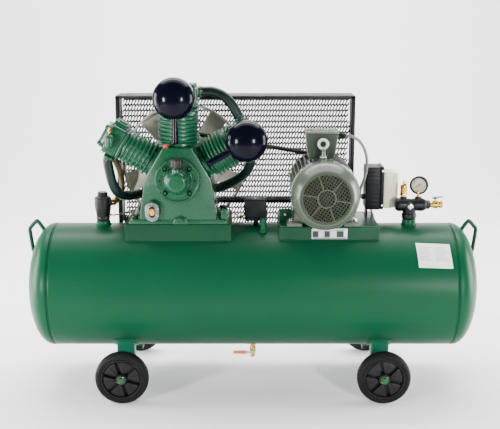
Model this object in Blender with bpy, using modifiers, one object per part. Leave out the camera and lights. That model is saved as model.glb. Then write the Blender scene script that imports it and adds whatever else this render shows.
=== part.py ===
"""A V-belt-driven air compressor: three cylinders in a W, an electric motor and a belt guard on a wheeled tank.

Frame: metres, +X along the tank, -Y the service side with the oil sight glass, +Z up.
The origin is on the floor, under the middle of the tank.
"""

import math

import bmesh
import bpy
from mathutils import Euler, Matrix, Vector

# Driving dimensions, in metres.
TANK_RADIUS = 0.240
TANK_SHELL_HALF = 0.760
TANK_HEAD_DEPTH = 0.110
TANK_WALL = 0.005
TANK_Z = 0.385
GAP = 0.0004  # between pieces that touch
SHEET = 0.005  # plate of the legs and bases

WHEEL_RADIUS = 0.100
WHEEL_WIDTH = 0.050
WHEEL_X = 0.488
WHEEL_Y = 0.271
AXLE_RADIUS = 0.0095
AXLE_END_Y = 0.312
LEG_WIDTH = 0.068
LEG_PLATE_Y = 0.155
LEG_DEPTH = 0.045

PUMP_BASE_X = (-0.481, -0.082)
PUMP_BASE_Y = (-0.130, 0.130)
PUMP_BASE_TOP = 0.655
MOTOR_BASE_X = (0.099, 0.476)
MOTOR_BASE_Y = (-0.125, 0.150)
MOTOR_BASE_TOP = 0.644

CRANK_X = -0.280
CRANK_Z = 0.821
CYLINDER_Y = -0.020
CASE_Y = (-0.135, 0.090)
CASE_FACE = 0.107  # from the crank's axis to the side cylinders' seats
CASE_WALL = 0.011
BARREL_END = 0.235
HEAD_END = 0.335
CRANK_THROW = 0.035
ROD_LENGTH = 0.145
PISTON_HEIGHT = 0.060
WRIST_TO_CROWN = 0.035
CYLINDERS = {  # name: tilt from vertical, bore radius, fin radius, extra distance out, half the head's width
    "middle": (0.0, 0.0450, 0.079, 0.013, 0.076),
    "left": (-60.0, 0.0360, 0.066, 0.0, 0.060),
    "right": (60.0, 0.0450, 0.079, 0.0, 0.070),
}
FILTERS = {"middle": (-0.2874, 1.1250), "right": (-0.0233, 0.9700)}
FILTER_RADIUS = 0.077

BELT_COUNT = 3
BELT_PITCH = 0.019
BELT_FIRST_Y = 0.1605
BELT_TOP, BELT_BOTTOM = 0.0040, -0.0070  # from the pitch line
BELT_HALF_TOP, BELT_HALF_BOTTOM = 0.00785, 0.0041
GROOVE_HALF_ANGLE = math.radians(19)
GROOVE_HALF_PITCH_WIDTH = 0.0070
GROOVE_RISE, GROOVE_DEPTH = 0.0055, 0.0085
CRANK_PULLEY_PITCH = 0.140
MOTOR_PULLEY_PITCH = 0.0925
PULLEY_EDGE = 0.0125  # from an outer groove's middle to the pulley's side

FAN_RADIUS = 0.250
FAN_RING = 0.009
FAN_Y = (0.216, 0.260)
FAN_BLADES = 5

MOTOR_X = 0.2645
MOTOR_Z = 0.777
MOTOR_RADIUS = 0.119
COWL_RADIUS = 0.1275
COWL_Y = (-0.263, -0.165)
SHAFT_RADIUS = 0.019
FOOT_X = 0.108

GUARD_X = (-0.545, 0.407)
GUARD_Y = (0.155, 0.3105)
GUARD_Z = (0.572, 1.107)
MESH_BOTTOM = 0.512
GUARD_SHEET = 0.003
GUARD_FLANGE = 0.020

VALVE_X = 0.607  # outlet manifold
CHECK_X = -0.5816
GAUGE_X, GAUGE_Z = 0.641, 0.7775
GAUGE_TURN = math.radians(-22)

COLOURS = {  # name: colour, roughness, metallic
    "green_paint": ((0.030, 0.230, 0.110), 0.35, 0.0),
    "pipe_green": ((0.018, 0.100, 0.062), 0.35, 0.0),
    "black_paint": ((0.012, 0.012, 0.014), 0.45, 0.0),
    "black_plastic": ((0.012, 0.013, 0.022), 0.15, 0.0),
    "cast_black": ((0.020, 0.021, 0.022), 0.50, 0.0),
    "rubber": ((0.016, 0.016, 0.017), 0.80, 0.0),
    "hub_plastic": ((0.018, 0.018, 0.019), 0.50, 0.0),
    "motor_grey": ((0.190, 0.225, 0.190), 0.40, 0.0),
    "fan_grey": ((0.330, 0.320, 0.285), 0.60, 0.2),
    "steel": ((0.450, 0.450, 0.450), 0.30, 1.0),
    "brass": ((0.600, 0.420, 0.130), 0.30, 1.0),
    "dark_grey": ((0.025, 0.032, 0.038), 0.50, 0.0),
    "cream": ((0.720, 0.660, 0.540), 0.45, 0.0),
    "orange": ((0.650, 0.180, 0.070), 0.45, 0.0),
    "cable": ((0.300, 0.290, 0.250), 0.60, 0.0),
}

ALONG_X = (0.0, math.pi / 2, 0.0)
ALONG_Y = (-math.pi / 2, 0.0, 0.0)  # local +Z points along +Y


def clear_scene():
    for obj in list(bpy.data.objects):
        bpy.data.objects.remove(obj)


def make_materials():
    for name, (colour, roughness, metallic) in COLOURS.items():
        material = bpy.data.materials.new(name)
        material.use_nodes = True
        shader = material.node_tree.nodes["Principled BSDF"]
        shader.inputs["Base Color"].default_value = (*colour, 1.0)
        shader.inputs["Roughness"].default_value = roughness
        shader.inputs["Metallic"].default_value = metallic


def make_collections():
    for name in ("compressor", "cutters"):
        collection = bpy.data.collections.new(name)
        bpy.context.scene.collection.children.link(collection)


def add_object(name, data, material, location=(0, 0, 0), rotation=(0, 0, 0)):
    """A new object: a part when it has a material, a cutter when it has none."""
    obj = bpy.data.objects.new(name, data)
    obj.location = location
    obj.rotation_euler = rotation
    if material:
        data.materials.append(bpy.data.materials[material])
        bpy.data.collections["compressor"].objects.link(obj)
    else:
        bpy.data.collections["cutters"].objects.link(obj)
        obj.hide_render = True
        obj.display_type = "WIRE"
    return obj


def mesh_from(bm, name):
    mesh = bpy.data.meshes.new(name)
    bm.to_mesh(mesh)
    bm.free()
    return mesh


def box(name, low, high, material=None, location=(0, 0, 0), rotation=(0, 0, 0)):
    """A box between two corners, given in the object's own frame."""
    low, high = Vector(low), Vector(high)
    bm = bmesh.new()
    bmesh.ops.create_cube(bm, size=1.0)
    bmesh.ops.transform(bm, matrix=Matrix.LocRotScale((low + high) / 2, None, high - low), verts=bm.verts)
    return add_object(name, mesh_from(bm, name), material, location, rotation)


def cylinder(name, radius, start, end, material=None, location=(0, 0, 0), rotation=(0, 0, 0), steps=20):
    """A cylinder on the object's own Z axis, from start to end."""
    bm = bmesh.new()
    bmesh.ops.create_cone(
        bm, cap_ends=True, segments=steps, radius1=radius, radius2=radius, depth=end - start,
        matrix=Matrix.Translation((0, 0, (start + end) / 2)),
    )
    return add_object(name, mesh_from(bm, name), material, location, rotation)


def turned(name, profile, material=None, location=(0, 0, 0), rotation=(0, 0, 0), steps=24, closed=False):
    """A profile of (radius, height) points, run down its outer side, turned about the object's own Z axis."""
    bm = bmesh.new()
    verts = [bm.verts.new((radius, 0, height)) for radius, height in profile]
    for first, second in zip(verts, verts[1:]):
        bm.edges.new((first, second))
    if closed:
        bm.edges.new((verts[-1], verts[0]))
    obj = add_object(name, mesh_from(bm, name), material, location, rotation)
    screw = obj.modifiers.new("turn", "SCREW")
    screw.steps = screw.render_steps = steps
    screw.use_merge_vertices = True
    screw.merge_threshold = 0.00001
    return obj


def folded_sheet(name, line, length, thickness, material, location=(0, 0, 0), rotation=(0, 0, 0)):
    """Sheet metal: a line of (x, y) points, extruded along the object's own Z axis and thickened on its right."""
    bm = bmesh.new()
    verts = [bm.verts.new((x, y, 0)) for x, y in line]
    edges = [bm.edges.new(pair) for pair in zip(verts, verts[1:])]
    grown = bmesh.ops.extrude_edge_only(bm, edges=edges)["geom"]
    bmesh.ops.translate(bm, vec=(0, 0, length), verts=[g for g in grown if isinstance(g, bmesh.types.BMVert)])
    obj = add_object(name, mesh_from(bm, name), material, location, rotation)
    solidify = obj.modifiers.new("sheet", "SOLIDIFY")
    solidify.thickness = thickness
    solidify.offset = -1
    solidify.use_even_offset = True
    return obj


def curve_mesh(name, curve, material, location=(0, 0, 0), rotation=(0, 0, 0)):
    """The mesh of a curve, with its caps welded on, as an object that can be cut."""
    guide = bpy.data.objects.new(name + "_guide", curve)
    bpy.context.scene.collection.objects.link(guide)
    graph = bpy.context.evaluated_depsgraph_get()
    mesh = bpy.data.meshes.new_from_object(guide.evaluated_get(graph))
    bpy.data.objects.remove(guide)
    bm = bmesh.new()
    bm.from_mesh(mesh)
    bmesh.ops.remove_doubles(bm, verts=bm.verts, dist=0.00001)
    bm.to_mesh(mesh)
    bm.free()
    mesh.materials.clear()
    return add_object(name, mesh, material, location, rotation)


def outline_solid(name, outline, depth, material=None, location=(0, 0, 0), rotation=(math.pi / 2, 0, 0)):
    """A flat outline of (x, z) points, as thick as depth, half of it on each side of the location."""
    curve = bpy.data.curves.new(name, "CURVE")
    curve.dimensions = "2D"
    curve.fill_mode = "BOTH"
    curve.extrude = depth / 2
    spline = curve.splines.new("POLY")
    spline.points.add(len(outline) - 1)
    for point, (x, z) in zip(spline.points, outline):
        point.co = (x, z, 0, 1)
    spline.use_cyclic_u = True
    return curve_mesh(name, curve, material, location, rotation)


def catmull_rom(route, count):
    """Points on a smooth curve through the route's own points, evenly counted between them."""
    ends = [2 * route[0] - route[1], *route, 2 * route[-1] - route[-2]]
    points = []
    for i in range(len(route) - 1):
        before, start, end, after = ends[i:i + 4]
        for step in range(count):
            t = step / count
            points.append(0.5 * (
                2 * start + (end - before) * t
                + (2 * before - 5 * start + 4 * end - after) * t ** 2
                + (3 * start - before - 3 * end + after) * t ** 3
            ))
    return points + [route[-1]]


def tube(name, route, radius, material, count=3):
    """A round bar, pipe or cable along a smooth curve through the route's points."""
    points = catmull_rom([Vector(p) for p in route], count)
    curve = bpy.data.curves.new(name, "CURVE")
    curve.dimensions = "3D"
    curve.bevel_depth = radius
    curve.bevel_resolution = 2
    curve.use_fill_caps = True
    spline = curve.splines.new("POLY")
    spline.points.add(len(points) - 1)
    for point, place in zip(spline.points, points):
        point.co = (*place, 1)
    obj = bpy.data.objects.new(name, curve)
    curve.materials.append(bpy.data.materials[material])
    bpy.data.collections["compressor"].objects.link(obj)
    return obj


def boolean(obj, other, operation="DIFFERENCE"):
    modifier = obj.modifiers.new(operation.lower(), "BOOLEAN")
    modifier.object = other
    modifier.operation = operation
    modifier.solver = "EXACT"


def join(obj, other):
    boolean(obj, other, "UNION")


def bevel(obj, width, segments=1):
    modifier = obj.modifiers.new("edges", "BEVEL")
    modifier.width = width
    modifier.segments = segments
    modifier.limit_method = "ANGLE"


def arc(centre_x, centre_y, radius, start, end, steps):
    """Points of an arc, in degrees from +X, counter-clockwise when end is more than start."""
    angles = [math.radians(start + (end - start) * i / steps) for i in range(steps + 1)]
    return [(centre_x + radius * math.cos(a), centre_y + radius * math.sin(a)) for a in angles]


def tank_cutter():
    """The tank's outside with its gap, which trims everything that is welded to the tank."""
    return cylinder(
        "tank_cutter", TANK_RADIUS + GAP, -TANK_SHELL_HALF, TANK_SHELL_HALF,
        location=(0, 0, TANK_Z), rotation=ALONG_X, steps=64,
    )


def domed_profile(radius, half, depth, steps):
    """One head, the shell and the other head, from the top of the axis to its bottom."""
    head = [
        (radius * math.sin(math.pi / 2 * i / steps), half + depth * math.cos(math.pi / 2 * i / steps))
        for i in range(steps + 1)
    ]
    return head + [(r, -h) for r, h in reversed(head)]


def make_tank():
    """The air receiver: one welded shell, open at its two top sockets and its drain."""
    centre = (0, 0, TANK_Z)
    outside = domed_profile(TANK_RADIUS, TANK_SHELL_HALF, TANK_HEAD_DEPTH, 5)
    tank = turned("tank", outside, "green_paint", centre, ALONG_X, steps=32)
    inside = domed_profile(
        TANK_RADIUS - TANK_WALL, TANK_SHELL_HALF - TANK_WALL / 2, TANK_HEAD_DEPTH - TANK_WALL / 2, 3
    )
    boolean(tank, turned("tank_inside", inside, None, centre, ALONG_X, steps=16))
    for name, x, start, end in (
        ("check_port", CHECK_X, 0.15, 0.30), ("outlet_port", VALVE_X, 0.15, 0.30), ("drain_port", 0, -0.30, -0.15)
    ):
        boolean(tank, cylinder(name, 0.012, start, end, location=(x, 0, TANK_Z), steps=12))
    return tank


def make_handles():
    """A bent round bar on each head of the tank, in its upright middle plane."""
    bends = ((0.8150, 0.605), (0.836, 0.634), (0.845, 0.6345), (0.869, 0.608), (0.8699, 0.598), (0.8605, 0.516))
    for name, side in (("handle_left", -1), ("handle_right", 1)):
        tube(name, [(side * x, 0, z) for x, z in bends], 0.0078, "green_paint", count=2)


def make_leg(name, side_x, side_y, trim):
    """A pressed channel under the tank, with the stub axle that its wheel turns on."""
    half = LEG_WIDTH / 2
    line = [(-half, LEG_DEPTH), (-half, 0), (half, 0), (half, LEG_DEPTH)]
    x, y = side_x * WHEEL_X, side_y * LEG_PLATE_Y
    turn = (0, 0, 0 if side_y < 0 else math.pi)
    leg = folded_sheet(name, line, 0.230, -SHEET, "green_paint", (x, y, 0.066), turn)
    axle = cylinder(
        name + "_axle", AXLE_RADIUS, -LEG_DEPTH / 2, AXLE_END_Y - LEG_PLATE_Y,
        location=(x, y, WHEEL_RADIUS), rotation=(math.pi / 2 if side_y < 0 else -math.pi / 2, 0, 0), steps=16,
    )
    boolean(leg, trim)
    join(leg, axle)


def make_wheel(place, side_x, side_y):
    """A solid rubber tyre on a moulded hub that runs on the stub axle."""
    centre = (side_x * WHEEL_X, side_y * WHEEL_Y, WHEEL_RADIUS)
    half, seat = WHEEL_WIDTH / 2, 0.070
    tyre = [
        (seat, half - 0.003), (WHEEL_RADIUS - 0.008, half), (WHEEL_RADIUS, half - 0.010),
        (WHEEL_RADIUS, 0.010 - half), (WHEEL_RADIUS - 0.008, -half), (seat, 0.003 - half),
    ]
    turned("tyre_" + place, tyre, "rubber", centre, ALONG_Y, steps=20, closed=True)
    rim, bore, boss = seat - GAP * 2, AXLE_RADIUS + 0.0006, 0.020
    hub = [
        (bore, half + 0.004), (boss, half + 0.004), (boss, 0.006), (rim - 0.009, 0.006), (rim - 0.009, half - 0.004),
        (rim, half - 0.004), (rim, 0.004 - half), (rim - 0.009, 0.004 - half), (rim - 0.009, -0.006), (boss, -0.006),
        (boss, -half), (bore, -half),
    ]
    turned("wheel_hub_" + place, hub, "hub_plastic", centre, ALONG_Y, steps=10, closed=True)


def make_base(name, along, across, top, trim):
    """A plate folded down at its front and back, standing on the tank."""
    line = [(across[0], 0.53), (across[0], top), (across[1], top), (across[1], 0.53)]
    base = folded_sheet(
        name, line, along[1] - along[0], SHEET, "green_paint", (along[0], 0, 0), (math.pi / 2, 0, math.pi / 2)
    )
    boolean(base, trim)


def place_on_cylinder(tilt):
    """Location and rotation of an object whose own Z axis is a cylinder's axis, measured from the crank."""
    return (CRANK_X, CYLINDER_Y, CRANK_Z), (0, math.radians(tilt), 0)


def make_crankcase():
    """A cast case with three seats at 60 degrees, open at its seats, its front cover and its drive end."""
    rise = CYLINDERS["middle"][3]
    half, top = CASE_FACE / math.cos(math.radians(30)), CASE_FACE + rise
    shoulder = (CASE_FACE - top / 2) / math.cos(math.radians(30))
    foot_top, foot_bottom = -0.148, PUMP_BASE_TOP + GAP - CRANK_Z
    right = [(0.186, foot_bottom), (0.186, foot_top), (0.139, foot_top), (half, 0), (shoulder, top)]
    outline = right + [(-x, z) for x, z in reversed(right)]
    depth, middle = CASE_Y[1] - CASE_Y[0], (CASE_Y[0] + CASE_Y[1]) / 2
    centre = (CRANK_X, middle, CRANK_Z)
    case = outline_solid("crankcase", outline, depth, "green_paint", centre)
    inner = half - CASE_WALL
    room = [(0.122, foot_top), (inner, 0), (shoulder - 0.004, top - CASE_WALL)]
    boolean(case, outline_solid(
        "case_room", room + [(-x, z) for x, z in reversed(room)], depth - 2 * CASE_WALL, None, centre
    ))
    boolean(case, cylinder(
        "cover_hole", 0.066, CASE_Y[0] - 0.01, CASE_Y[0] + 0.03, None, (CRANK_X, 0, CRANK_Z), ALONG_Y, 24
    ))
    boolean(case, cylinder(
        "shaft_hole", 0.0235, CASE_Y[1] - 0.03, CASE_Y[1] + 0.01, None, (CRANK_X, 0, CRANK_Z), ALONG_Y, 24
    ))
    for name, (tilt, bore, _, out, _) in CYLINDERS.items():
        location, rotation = place_on_cylinder(tilt)
        boolean(case, cylinder(
            "seat_" + name, bore + 0.002, 0.080 + out, 0.120 + out, None, location, rotation, 24
        ))
    bm = bmesh.new()
    bmesh.ops.create_cone(bm, cap_ends=True, segments=20, radius1=0.027, radius2=0.027, depth=0.030)
    bmesh.ops.scale(bm, vec=(1, 1.4, 1), verts=bm.verts)
    boss = add_object("sight_boss", mesh_from(bm, "sight_boss"), None, (-0.374, CASE_Y[0] - 0.008, 0.707), ALONG_Y)
    join(case, boss)


def make_bearing_cover():
    """The crank's front cover, with a blind journal and the boss of the oil filler."""
    face = CASE_Y[0] - GAP
    profile = [  # heights run towards the case
        (0.0205, 0.030), (0.0645, 0.030), (0.0645, 0), (0.080, 0), (0.080, -0.010), (0.050, -0.014),
        (0.047, -0.056), (0.036, -0.060), (0, -0.060), (0, -0.004), (0.0205, -0.004),
    ]
    turned("bearing_cover", profile, "green_paint", (CRANK_X, face, CRANK_Z), ALONG_Y, 16, closed=True)


def make_breather():
    """The oil filler cap with its breather, on top of the cover's boss."""
    bottom = CRANK_Z + 0.050 + GAP
    profile = [(0, 0.040), (0.017, 0.040), (0.020, 0.035), (0.020, 0.006), (0.014, 0.004), (0.014, 0), (0, 0)]
    turned("breather_cap", profile, "black_paint", (CRANK_X, CASE_Y[0] - 0.036, bottom), steps=16)


def make_sight_glass():
    """The oval oil window plate on the case's boss."""
    bm = bmesh.new()
    bmesh.ops.create_cone(bm, cap_ends=True, segments=20, radius1=0.026, radius2=0.024, depth=0.008)
    bmesh.ops.scale(bm, vec=(1, 1.4, 1), verts=bm.verts)
    front = CASE_Y[0] - 0.023 - GAP
    add_object(
        "sight_glass", mesh_from(bm, "sight_glass"), "steel", (-0.374, front - 0.004, 0.707),
        (math.pi / 2, 0, 0),
    )


def clear_reach(height, radius):
    """How far a fin may reach at a height before it meets the next cylinder's, half of 60 degrees away."""
    return min(radius, height * math.tan(math.radians(30)) - 0.001)


def make_barrel(name, tilt, bore, fin, out):
    """An iron cylinder barrel with its flanges and cooling fins."""
    start, end, core, fins = CASE_FACE + out + GAP, BARREL_END + out - GAP, bore + 0.010, 3
    outside = [(fin - 0.004, end), (fin - 0.004, end - 0.010)]
    pitch = (end - start - 0.022) / fins
    for i in range(fins):
        top = end - 0.010 - pitch * (i + 0.45)
        reach = clear_reach(top - 0.006, fin)
        outside += [(core, top), (reach, top), (reach, top - 0.006), (core, top - 0.006)]
    reach = min(clear_reach(start, fin), 0.0608)
    outside += [(core, start + 0.010), (reach, start + 0.010), (reach, start)]
    outside.insert(2, (core, end - 0.010))
    profile = [(bore, end), *outside, (bore, start)]
    location, rotation = place_on_cylinder(tilt)
    turned("cylinder_" + name, profile, "green_paint", location, rotation, 12, closed=True)


def make_head(name, tilt, bore, out, half):
    """A cast cylinder head with its valve chamber."""
    location, rotation = place_on_cylinder(tilt)
    low, high = BARREL_END + out + GAP, HEAD_END + out
    head = box("head_" + name, (-half, -0.070, low), (half, 0.070, high), "green_paint", location, rotation)
    bevel(head, 0.008)
    boolean(head, cylinder("chamber_" + name, bore, 0.20, low + 0.03, None, location, rotation, 18))


def make_piston(name, tilt, bore, out):
    """A piston at its place for a crankpin that is straight below the crank's axis."""
    swing = math.radians(180 - abs(tilt))
    wrist = CRANK_THROW * math.cos(swing) + math.sqrt(ROD_LENGTH ** 2 - (CRANK_THROW * math.sin(swing)) ** 2)
    crown, radius = wrist + WRIST_TO_CROWN + out, bore - 0.0006
    foot = crown - PISTON_HEIGHT
    profile = [
        (0, crown), (radius, crown), (radius, foot), (radius - 0.005, foot), (radius - 0.005, crown - 0.010),
        (0, crown - 0.010),
    ]
    location, rotation = place_on_cylinder(tilt)
    turned("piston_" + name, profile, "steel", location, rotation, 12)


def make_filter(name, tilt):
    """A round intake silencer on the head's front, with its intake spout towards the crankcase."""
    x, z = FILTERS[name]
    front, back, radius = -0.215, -0.128, FILTER_RADIUS
    dome = [(radius * math.cos(math.radians(a)), -0.028 * math.sin(math.radians(a))) for a in (0, 25, 50, 70)]
    neck_end = CYLINDER_Y - 0.070 - GAP
    profile = [
        (0, neck_end), (0.022, neck_end), (0.022, back), (radius - 0.008, back), (radius, back - 0.008),
        *[(r, front + 0.028 + h) for r, h in dome], (0, front),
    ]
    shell = turned("air_filter_" + name, profile, "black_plastic", (x, 0, z), ALONG_Y, 16)
    spout = cylinder(
        "spout_" + name, 0.0135, 0.050, 0.164, None, (x, -0.170, z),
        (0, math.radians(tilt + 180), 0), 12,
    )
    join(shell, spout)


def make_pipes():
    """The intercooler's two pipes, from head to head, and the discharge pipe to the check valve."""
    tube("intercooler_pipe_upper", [
        (-0.2025, -0.010, 1.1390), (-0.1830, -0.010, 1.1395), (-0.1500, -0.010, 1.1385), (-0.1120, -0.010, 1.1230),
        (-0.0820, -0.010, 1.0930), (-0.0595, -0.010, 1.0550), (-0.0495, -0.010, 1.0377),
    ], 0.019, "pipe_green", count=2)
    tube("intercooler_pipe_lower", [
        (-0.0138, 0.000, 0.8899), (-0.0078, 0.000, 0.8795), (-0.0100, 0.010, 0.8600), (-0.0260, 0.035, 0.8230),
        (-0.0580, 0.070, 0.7900), (-0.1050, 0.100, 0.7600), (-0.1600, 0.116, 0.7420), (-0.2600, 0.119, 0.7300),
        (-0.3700, 0.119, 0.7280), (-0.4350, 0.104, 0.7260), (-0.4760, 0.050, 0.7280), (-0.5030, 0.000, 0.7390),
        (-0.5220, -0.030, 0.7620), (-0.5360, -0.045, 0.8000), (-0.5430, -0.052, 0.8400), (-0.5480, -0.055, 0.8720),
        (-0.5472, -0.055, 0.8882), (-0.5407, -0.055, 0.8995),
    ], 0.019, "pipe_green", count=2)
    tube("discharge_pipe", [
        (-0.5299, 0.026, 0.8918), (-0.5344, 0.026, 0.8840), (-0.5290, 0.034, 0.8600), (-0.5180, 0.046, 0.8250),
        (-0.5130, 0.054, 0.7850), (-0.5150, 0.053, 0.7500), (-0.5225, 0.041, 0.7270), (-0.5330, 0.020, 0.7150),
        (-0.5400, 0.004, 0.7120), (-0.5472, 0.000, 0.7120),
    ], 0.0125, "brass", count=2)


def make_check_valve():
    """The non-return valve on the tank's left socket."""
    bottom = TANK_Z + TANK_RADIUS + 0.0003
    profile = [
        (0, 0.128), (0.0175, 0.128), (0.0195, 0.124), (0.0195, 0.112), (0.0310, 0.106), (0.0330, 0.098),
        (0.0320, 0.070), (0.0265, 0.034), (0.0215, 0.022), (0.0215, 0), (0, 0),
    ]
    turned("check_valve", profile, "cast_black", (CHECK_X, 0, bottom), steps=14)


def make_crankshaft():
    """A one-throw crank with its pin straight down, journalled at the front and at the flywheel's end."""
    place, turn = (CRANK_X, 0, CRANK_Z), ALONG_Y
    shaft = cylinder("crankshaft", 0.0225, 0.035, 0.268, "steel", place, turn, 20)
    pin_place = (CRANK_X, 0, CRANK_Z - CRANK_THROW)
    pieces = [
        cylinder("crank_front", 0.0195, CASE_Y[0] - 0.002, -0.070, None, place, turn, 20),
        cylinder("crankpin", 0.0180, -0.078, 0.043, None, pin_place, turn, 16),
        box("web_front", (-0.026, -0.082, -0.058), (0.026, -0.066, 0.054), None, place),
        box("web_rear", (-0.026, 0.030, -0.058), (0.026, 0.046, 0.054), None, place),
    ]
    for piece in pieces:
        join(shaft, piece)


def grooved_rim(pitch):
    """The outer side of a V pulley, from its front to its back, as (radius, distance from the first groove)."""
    outer, bottom = pitch + GROOVE_RISE, pitch - GROOVE_DEPTH
    wide = GROOVE_HALF_PITCH_WIDTH + GROOVE_RISE * math.tan(GROOVE_HALF_ANGLE)
    narrow = GROOVE_HALF_PITCH_WIDTH - GROOVE_DEPTH * math.tan(GROOVE_HALF_ANGLE)
    points = [(outer, -PULLEY_EDGE)]
    for i in range(BELT_COUNT):
        middle = i * BELT_PITCH
        points += [(outer, middle - wide), (bottom, middle - narrow), (bottom, middle + narrow), (outer, middle + wide)]
    return points + [(outer, (BELT_COUNT - 1) * BELT_PITCH + PULLEY_EDGE)]


def turned_pulley(name, pitch, hub, bore, hub_ends, material, location, steps):
    """A V pulley: a grooved rim, a web and a hub, turned about +Y."""
    width = (BELT_COUNT - 1) * BELT_PITCH + 2 * PULLEY_EDGE
    front, back = -PULLEY_EDGE, width - PULLEY_EDGE
    inner, web = pitch - 0.021, (front + back) / 2
    rim = list(reversed(grooved_rim(pitch)))
    profile = rim + [
        (inner, front), (inner, web - 0.006), (hub, web - 0.006), (hub, hub_ends[0]), (bore, hub_ends[0]),
        (bore, hub_ends[1]), (hub, hub_ends[1]), (hub, web + 0.006), (inner, web + 0.006), (inner, back),
    ]
    return turned(name, profile, material, location, ALONG_Y, steps, closed=True)


def make_flywheel():
    """The crank's grooved flywheel, cast with five fan blades and their ring."""
    place = (CRANK_X, BELT_FIRST_Y, CRANK_Z)
    wheel = turned_pulley(
        "flywheel", CRANK_PULLEY_PITCH, 0.042, 0.0225 + GAP, (-0.020, 0.098), "fan_grey", place, 24
    )
    ring = [
        (FAN_RADIUS, FAN_Y[1]), (FAN_RADIUS, FAN_Y[0]), (FAN_RADIUS - FAN_RING, FAN_Y[0]),
        (FAN_RADIUS - FAN_RING, FAN_Y[1]),
    ]
    blades = []
    for i in range(FAN_BLADES):
        angle = math.radians(90 + 180 + 360 * i / FAN_BLADES)
        turn = Euler((0, math.radians(90) - angle, 0)).to_matrix() @ Euler((0, 0, math.radians(38))).to_matrix()
        blade = box(f"blade_{i + 1}", (-0.031, -0.003, 0.034), (0.031, 0.003, FAN_RADIUS - 0.004))
        blade.location = (CRANK_X, sum(FAN_Y) / 2, CRANK_Z)
        blade.rotation_euler = turn.to_euler()
        blades.append(blade)
    for blade in blades:
        join(wheel, blade)
    join(wheel, turned("fan_ring", ring, None, (CRANK_X, 0, CRANK_Z), ALONG_Y, 24, closed=True))


def make_motor_pulley():
    place = (MOTOR_X, BELT_FIRST_Y, MOTOR_Z)
    turned_pulley(
        "motor_pulley", MOTOR_PULLEY_PITCH, 0.034, SHAFT_RADIUS + GAP, (-0.012, 0.056), "cast_black", place, 18
    )


def belt_path():
    """The pitch line round both pulleys, as (x, z) points: two arcs joined by straight runs."""
    dx, dz = MOTOR_X - CRANK_X, MOTOR_Z - CRANK_Z
    slope = math.degrees(math.atan2(dz, dx))
    lean = math.degrees(math.acos((CRANK_PULLEY_PITCH - MOTOR_PULLEY_PITCH) / math.hypot(dx, dz)))
    big = arc(CRANK_X, CRANK_Z, CRANK_PULLEY_PITCH, slope + lean, slope + 360 - lean, 20)
    small = arc(MOTOR_X, MOTOR_Z, MOTOR_PULLEY_PITCH, slope - lean, slope + lean, 14)
    return big + small


def make_belts():
    """Endless V belts side by side: a trapezium section swept round the pitch line."""
    section = bpy.data.curves.new("belt_section", "CURVE")
    section.dimensions = "2D"
    spline = section.splines.new("POLY")
    corners = [
        (-BELT_TOP, BELT_HALF_TOP), (-BELT_BOTTOM, BELT_HALF_BOTTOM), (-BELT_BOTTOM, -BELT_HALF_BOTTOM),
        (-BELT_TOP, -BELT_HALF_TOP),
    ]
    spline.points.add(len(corners) - 1)
    for point, (x, y) in zip(spline.points, corners):
        point.co = (x, y, 0, 1)
    spline.use_cyclic_u = True
    section_object = add_object("belt_section", section, None)
    for i in range(BELT_COUNT):
        path = bpy.data.curves.new(f"v_belt_{i + 1}", "CURVE")
        path.dimensions = "2D"
        path.fill_mode = "NONE"
        path.bevel_mode = "OBJECT"
        path.bevel_object = section_object
        loop = path.splines.new("POLY")
        points = belt_path()
        loop.points.add(len(points) - 1)
        for point, (x, z) in zip(loop.points, points):
            point.co = (x, z, 0, 1)
        loop.use_cyclic_u = True
        curve_mesh(f"v_belt_{i + 1}", path, "rubber", (0, BELT_FIRST_Y + i * BELT_PITCH, 0), (math.pi / 2, 0, 0))


def make_motor_frame():
    """The motor's cast frame with its drive-end shield and its two feet."""
    place = (MOTOR_X, 0, MOTOR_Z)
    front, back, bore = COWL_Y[1] - 0.010, 0.140, 0.104
    profile = [  # heights run along +Y
        (MOTOR_RADIUS, back - 0.014), (MOTOR_RADIUS, front), (bore, front), (bore, back - 0.022),
        (SHAFT_RADIUS + 0.0006, back - 0.022), (SHAFT_RADIUS + 0.0006, back), (0.060, back),
    ]
    frame = turned("motor_frame", profile, "motor_grey", place, ALONG_Y, 24, closed=True)
    for name, side in (("foot_left", -1), ("foot_right", 1)):
        low = (side * FOOT_X - 0.030, -0.130, MOTOR_BASE_TOP + GAP - MOTOR_Z)
        high = (side * FOOT_X + 0.030, 0.095, MOTOR_BASE_TOP + 0.016 - MOTOR_Z)
        join(frame, box(name, low, high, None, place))
        low = (side * 0.092 - 0.010, -0.120, MOTOR_BASE_TOP + 0.004 - MOTOR_Z)
        high = (side * 0.092 + 0.010, 0.085, -0.062)
        join(frame, box(name + "_web", low, high, None, place))


def make_fan_cowl():
    """The pressed cowl over the motor's own fan, with open slots in its face."""
    place, wall = (MOTOR_X, 0, MOTOR_Z), 0.003
    front, back = COWL_Y
    outside = [
        (COWL_RADIUS, back), (COWL_RADIUS, front + 0.055), (COWL_RADIUS - 0.008, front + 0.028),
        (COWL_RADIUS - 0.026, front + 0.008), (0.100, front + 0.003), (0.094, front), (0, front),
    ]
    inside = [
        (0, front + wall), (0.093, front + wall), (COWL_RADIUS - 0.028, front + 0.011),
        (COWL_RADIUS - 0.011, front + 0.030), (COWL_RADIUS - wall, front + 0.056), (COWL_RADIUS - wall, back),
    ]
    cowl = turned("fan_cowl", outside + inside, "motor_grey", place, ALONG_Y, 20, closed=True)
    for i in range(8):
        slot = box(f"slot_{i + 1}", (-0.010, -0.02, 0.038), (0.010, 0.02, 0.084))
        slot.location = (MOTOR_X, front, MOTOR_Z)
        slot.rotation_euler = (0, math.radians(22.5 + 45 * i), 0)
        boolean(cowl, slot)


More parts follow.
